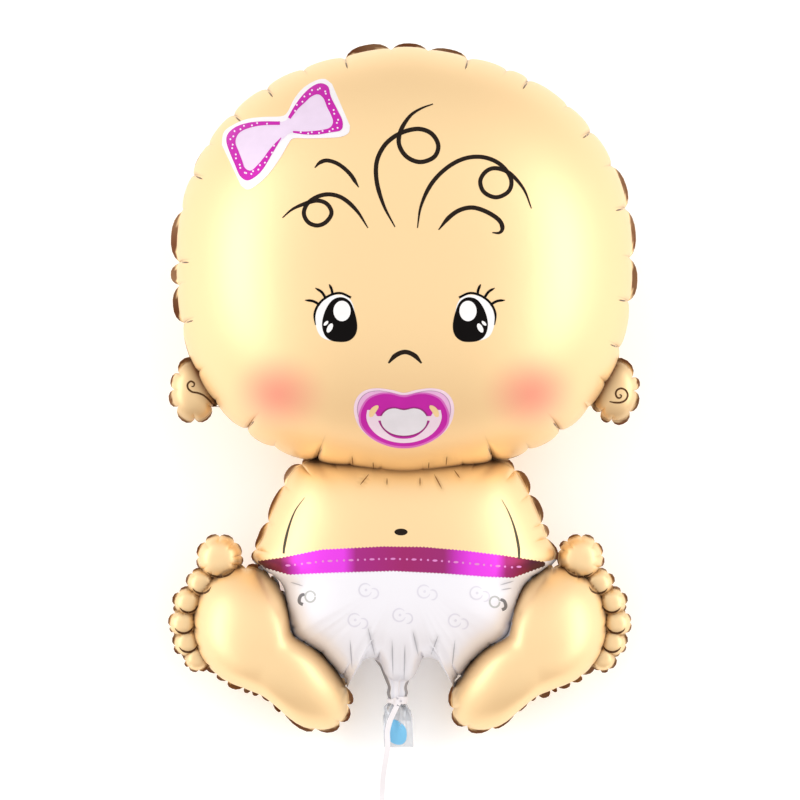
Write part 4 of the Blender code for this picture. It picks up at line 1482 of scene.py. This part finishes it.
class BALLOON_OT_camera(bpy.types.Operator):
    """Place the camera square to the seam plane, framed as the photograph is"""

    bl_idname = "balloon.camera"
    bl_label = "Camera"

    def execute(self, context):
        distance = context.scene.balloon_stage.distance
        camera = bpy.data.cameras.new("camera")
        camera.sensor_width = SENSOR
        camera.sensor_fit = "HORIZONTAL"
        camera.lens = camera.sensor_width * distance / (FRAME_SIDE * PIXEL)
        camera.clip_end = 50.0
        eye = placed("camera", camera)
        eye.matrix_world = PLANE @ Matrix.Translation((*CAMERA_AIM, distance))
        context.scene.camera = eye
        return {"FINISHED"}


class BALLOON_OT_stage(bpy.types.Operator):
    """Make the pale floor, the white room and the two softboxes"""

    bl_idname = "balloon.stage"
    bl_label = "Stage"

    def room(self, tree, background, sky):
        """White walls: brighter by the square of the way aside, dimmer and warmer past crown and tail."""
        where = node(tree, "ShaderNodeTexCoord").outputs["Generated"]
        x, y, _ = node(tree, "ShaderNodeSeparateXYZ", Vector=where).outputs
        squares = [math_node(tree, "POWER", math_node(tree, "ABSOLUTE", way), 2.0) for way in (x, y)]
        sides = math_node(tree, "MULTIPLY", squares[0], SIDES_GAIN)
        past_tail = math_node(tree, "MULTIPLY", math_node(tree, "LESS_THAN", y, 0.0), TAIL_DIM)
        dim = math_node(tree, "MULTIPLY", squares[1], math_node(tree, "ADD", past_tail, ENDS_DIM))
        feed(tree, math_node(tree, "ADD", sides, sky), background.inputs["Strength"])
        feed(tree, blend(tree, dim, (1.0, 1.0, 1.0), WARM), background.inputs["Color"])

    def execute(self, context):
        scene = context.scene
        settings = scene.balloon_stage
        pale, _, _ = new_material(
            "pale floor", Base_Color=(0.93, 0.93, 0.93), Roughness=0.9, Emission_Color=(1.0, 1.0, 1.0),
            Emission_Strength=settings.table,
        )
        ways = (-1, -1), (1, -1), (1, 1), (-1, 1)
        corners = [(x * FLOOR_HALF, y * FLOOR_HALF, -FLOOR_DROP) for x, y in ways]
        mesh = mesh_of("floor", corners, [[0, 1, 2, 3]])
        mesh.materials.append(pale)
        floor = placed("floor", mesh)

        world = bpy.data.worlds.new("white room")
        world.use_nodes = True
        self.room(world.node_tree, world.node_tree.nodes["Background"], settings.sky)
        scene.world = world
        scene.view_settings.view_transform = "Standard"

        aim = Vector((0.0, HEAD_CHIN, 0.0))
        for side in SOFTBOX_SIDES:
            light = bpy.data.lights.new("softbox", "AREA")
            light.shape = "RECTANGLE"
            light.size, light.size_y = SOFTBOX_SIZE
            light.energy = settings.softbox
            lamp = placed("softbox", light)
            place = aim + SOFTBOX_AWAY * Vector((math.sin(side), 0.0, math.cos(side)))
            turn = (place - aim).to_track_quat("Z", "Y").to_matrix().to_4x4()
            lamp.matrix_world = PLANE @ Matrix.Translation(place) @ turn
        return {"FINISHED"}


class BALLOON_PT_panel(bpy.types.Panel):
    """Everything that the balloon is made of, in the order it is made"""

    bl_label = "Foil Balloon"
    bl_idname = "BALLOON_PT_panel"
    bl_space_type = "VIEW_3D"
    bl_region_type = "UI"
    bl_category = "Balloon"

    def draw(self, context):
        for step in STEPS:
            self.layout.operator(step.bl_idname)
        for name in GROUPS:
            group = getattr(context.scene, name)
            box = self.layout.box()
            for prop in group.bl_rna.properties:
                if prop.identifier not in ("rna_type", "name"):
                    box.prop(group, prop.identifier)


STEPS = (
    BALLOON_OT_camera, BALLOON_OT_ribbon, BALLOON_OT_foil, BALLOON_OT_tail, BALLOON_OT_bow, BALLOON_OT_curls,
    BALLOON_OT_eyes, BALLOON_OT_nose_and_dummy, BALLOON_OT_body_prints, BALLOON_OT_toe_and_ear_prints,
    BALLOON_OT_stage,
)
GROUPS = {
    "balloon_foil": FoilSettings, "balloon_print": PrintSettings, "balloon_ribbon": RibbonSettings,
    "balloon_stage": StageSettings,
}


def register():
    for group in GROUPS.values():
        bpy.utils.register_class(group)
    for name, group in GROUPS.items():
        setattr(bpy.types.Scene, name, bpy.props.PointerProperty(type=group))
    for cls in (*STEPS, BALLOON_PT_panel):
        bpy.utils.register_class(cls)


def unregister():
    for cls in reversed((*STEPS, BALLOON_PT_panel)):
        bpy.utils.unregister_class(cls)
    for name, group in reversed(GROUPS.items()):
        delattr(bpy.types.Scene, name)
        bpy.utils.unregister_class(group)


def main():
    register()
    for step in STEPS:
        area, name = step.bl_idname.split(".")
        if getattr(getattr(bpy.ops, area), name)() != {"FINISHED"}:
            raise RuntimeError(f"{step.bl_label} was not finished")


if __name__ == "__main__":
    main()
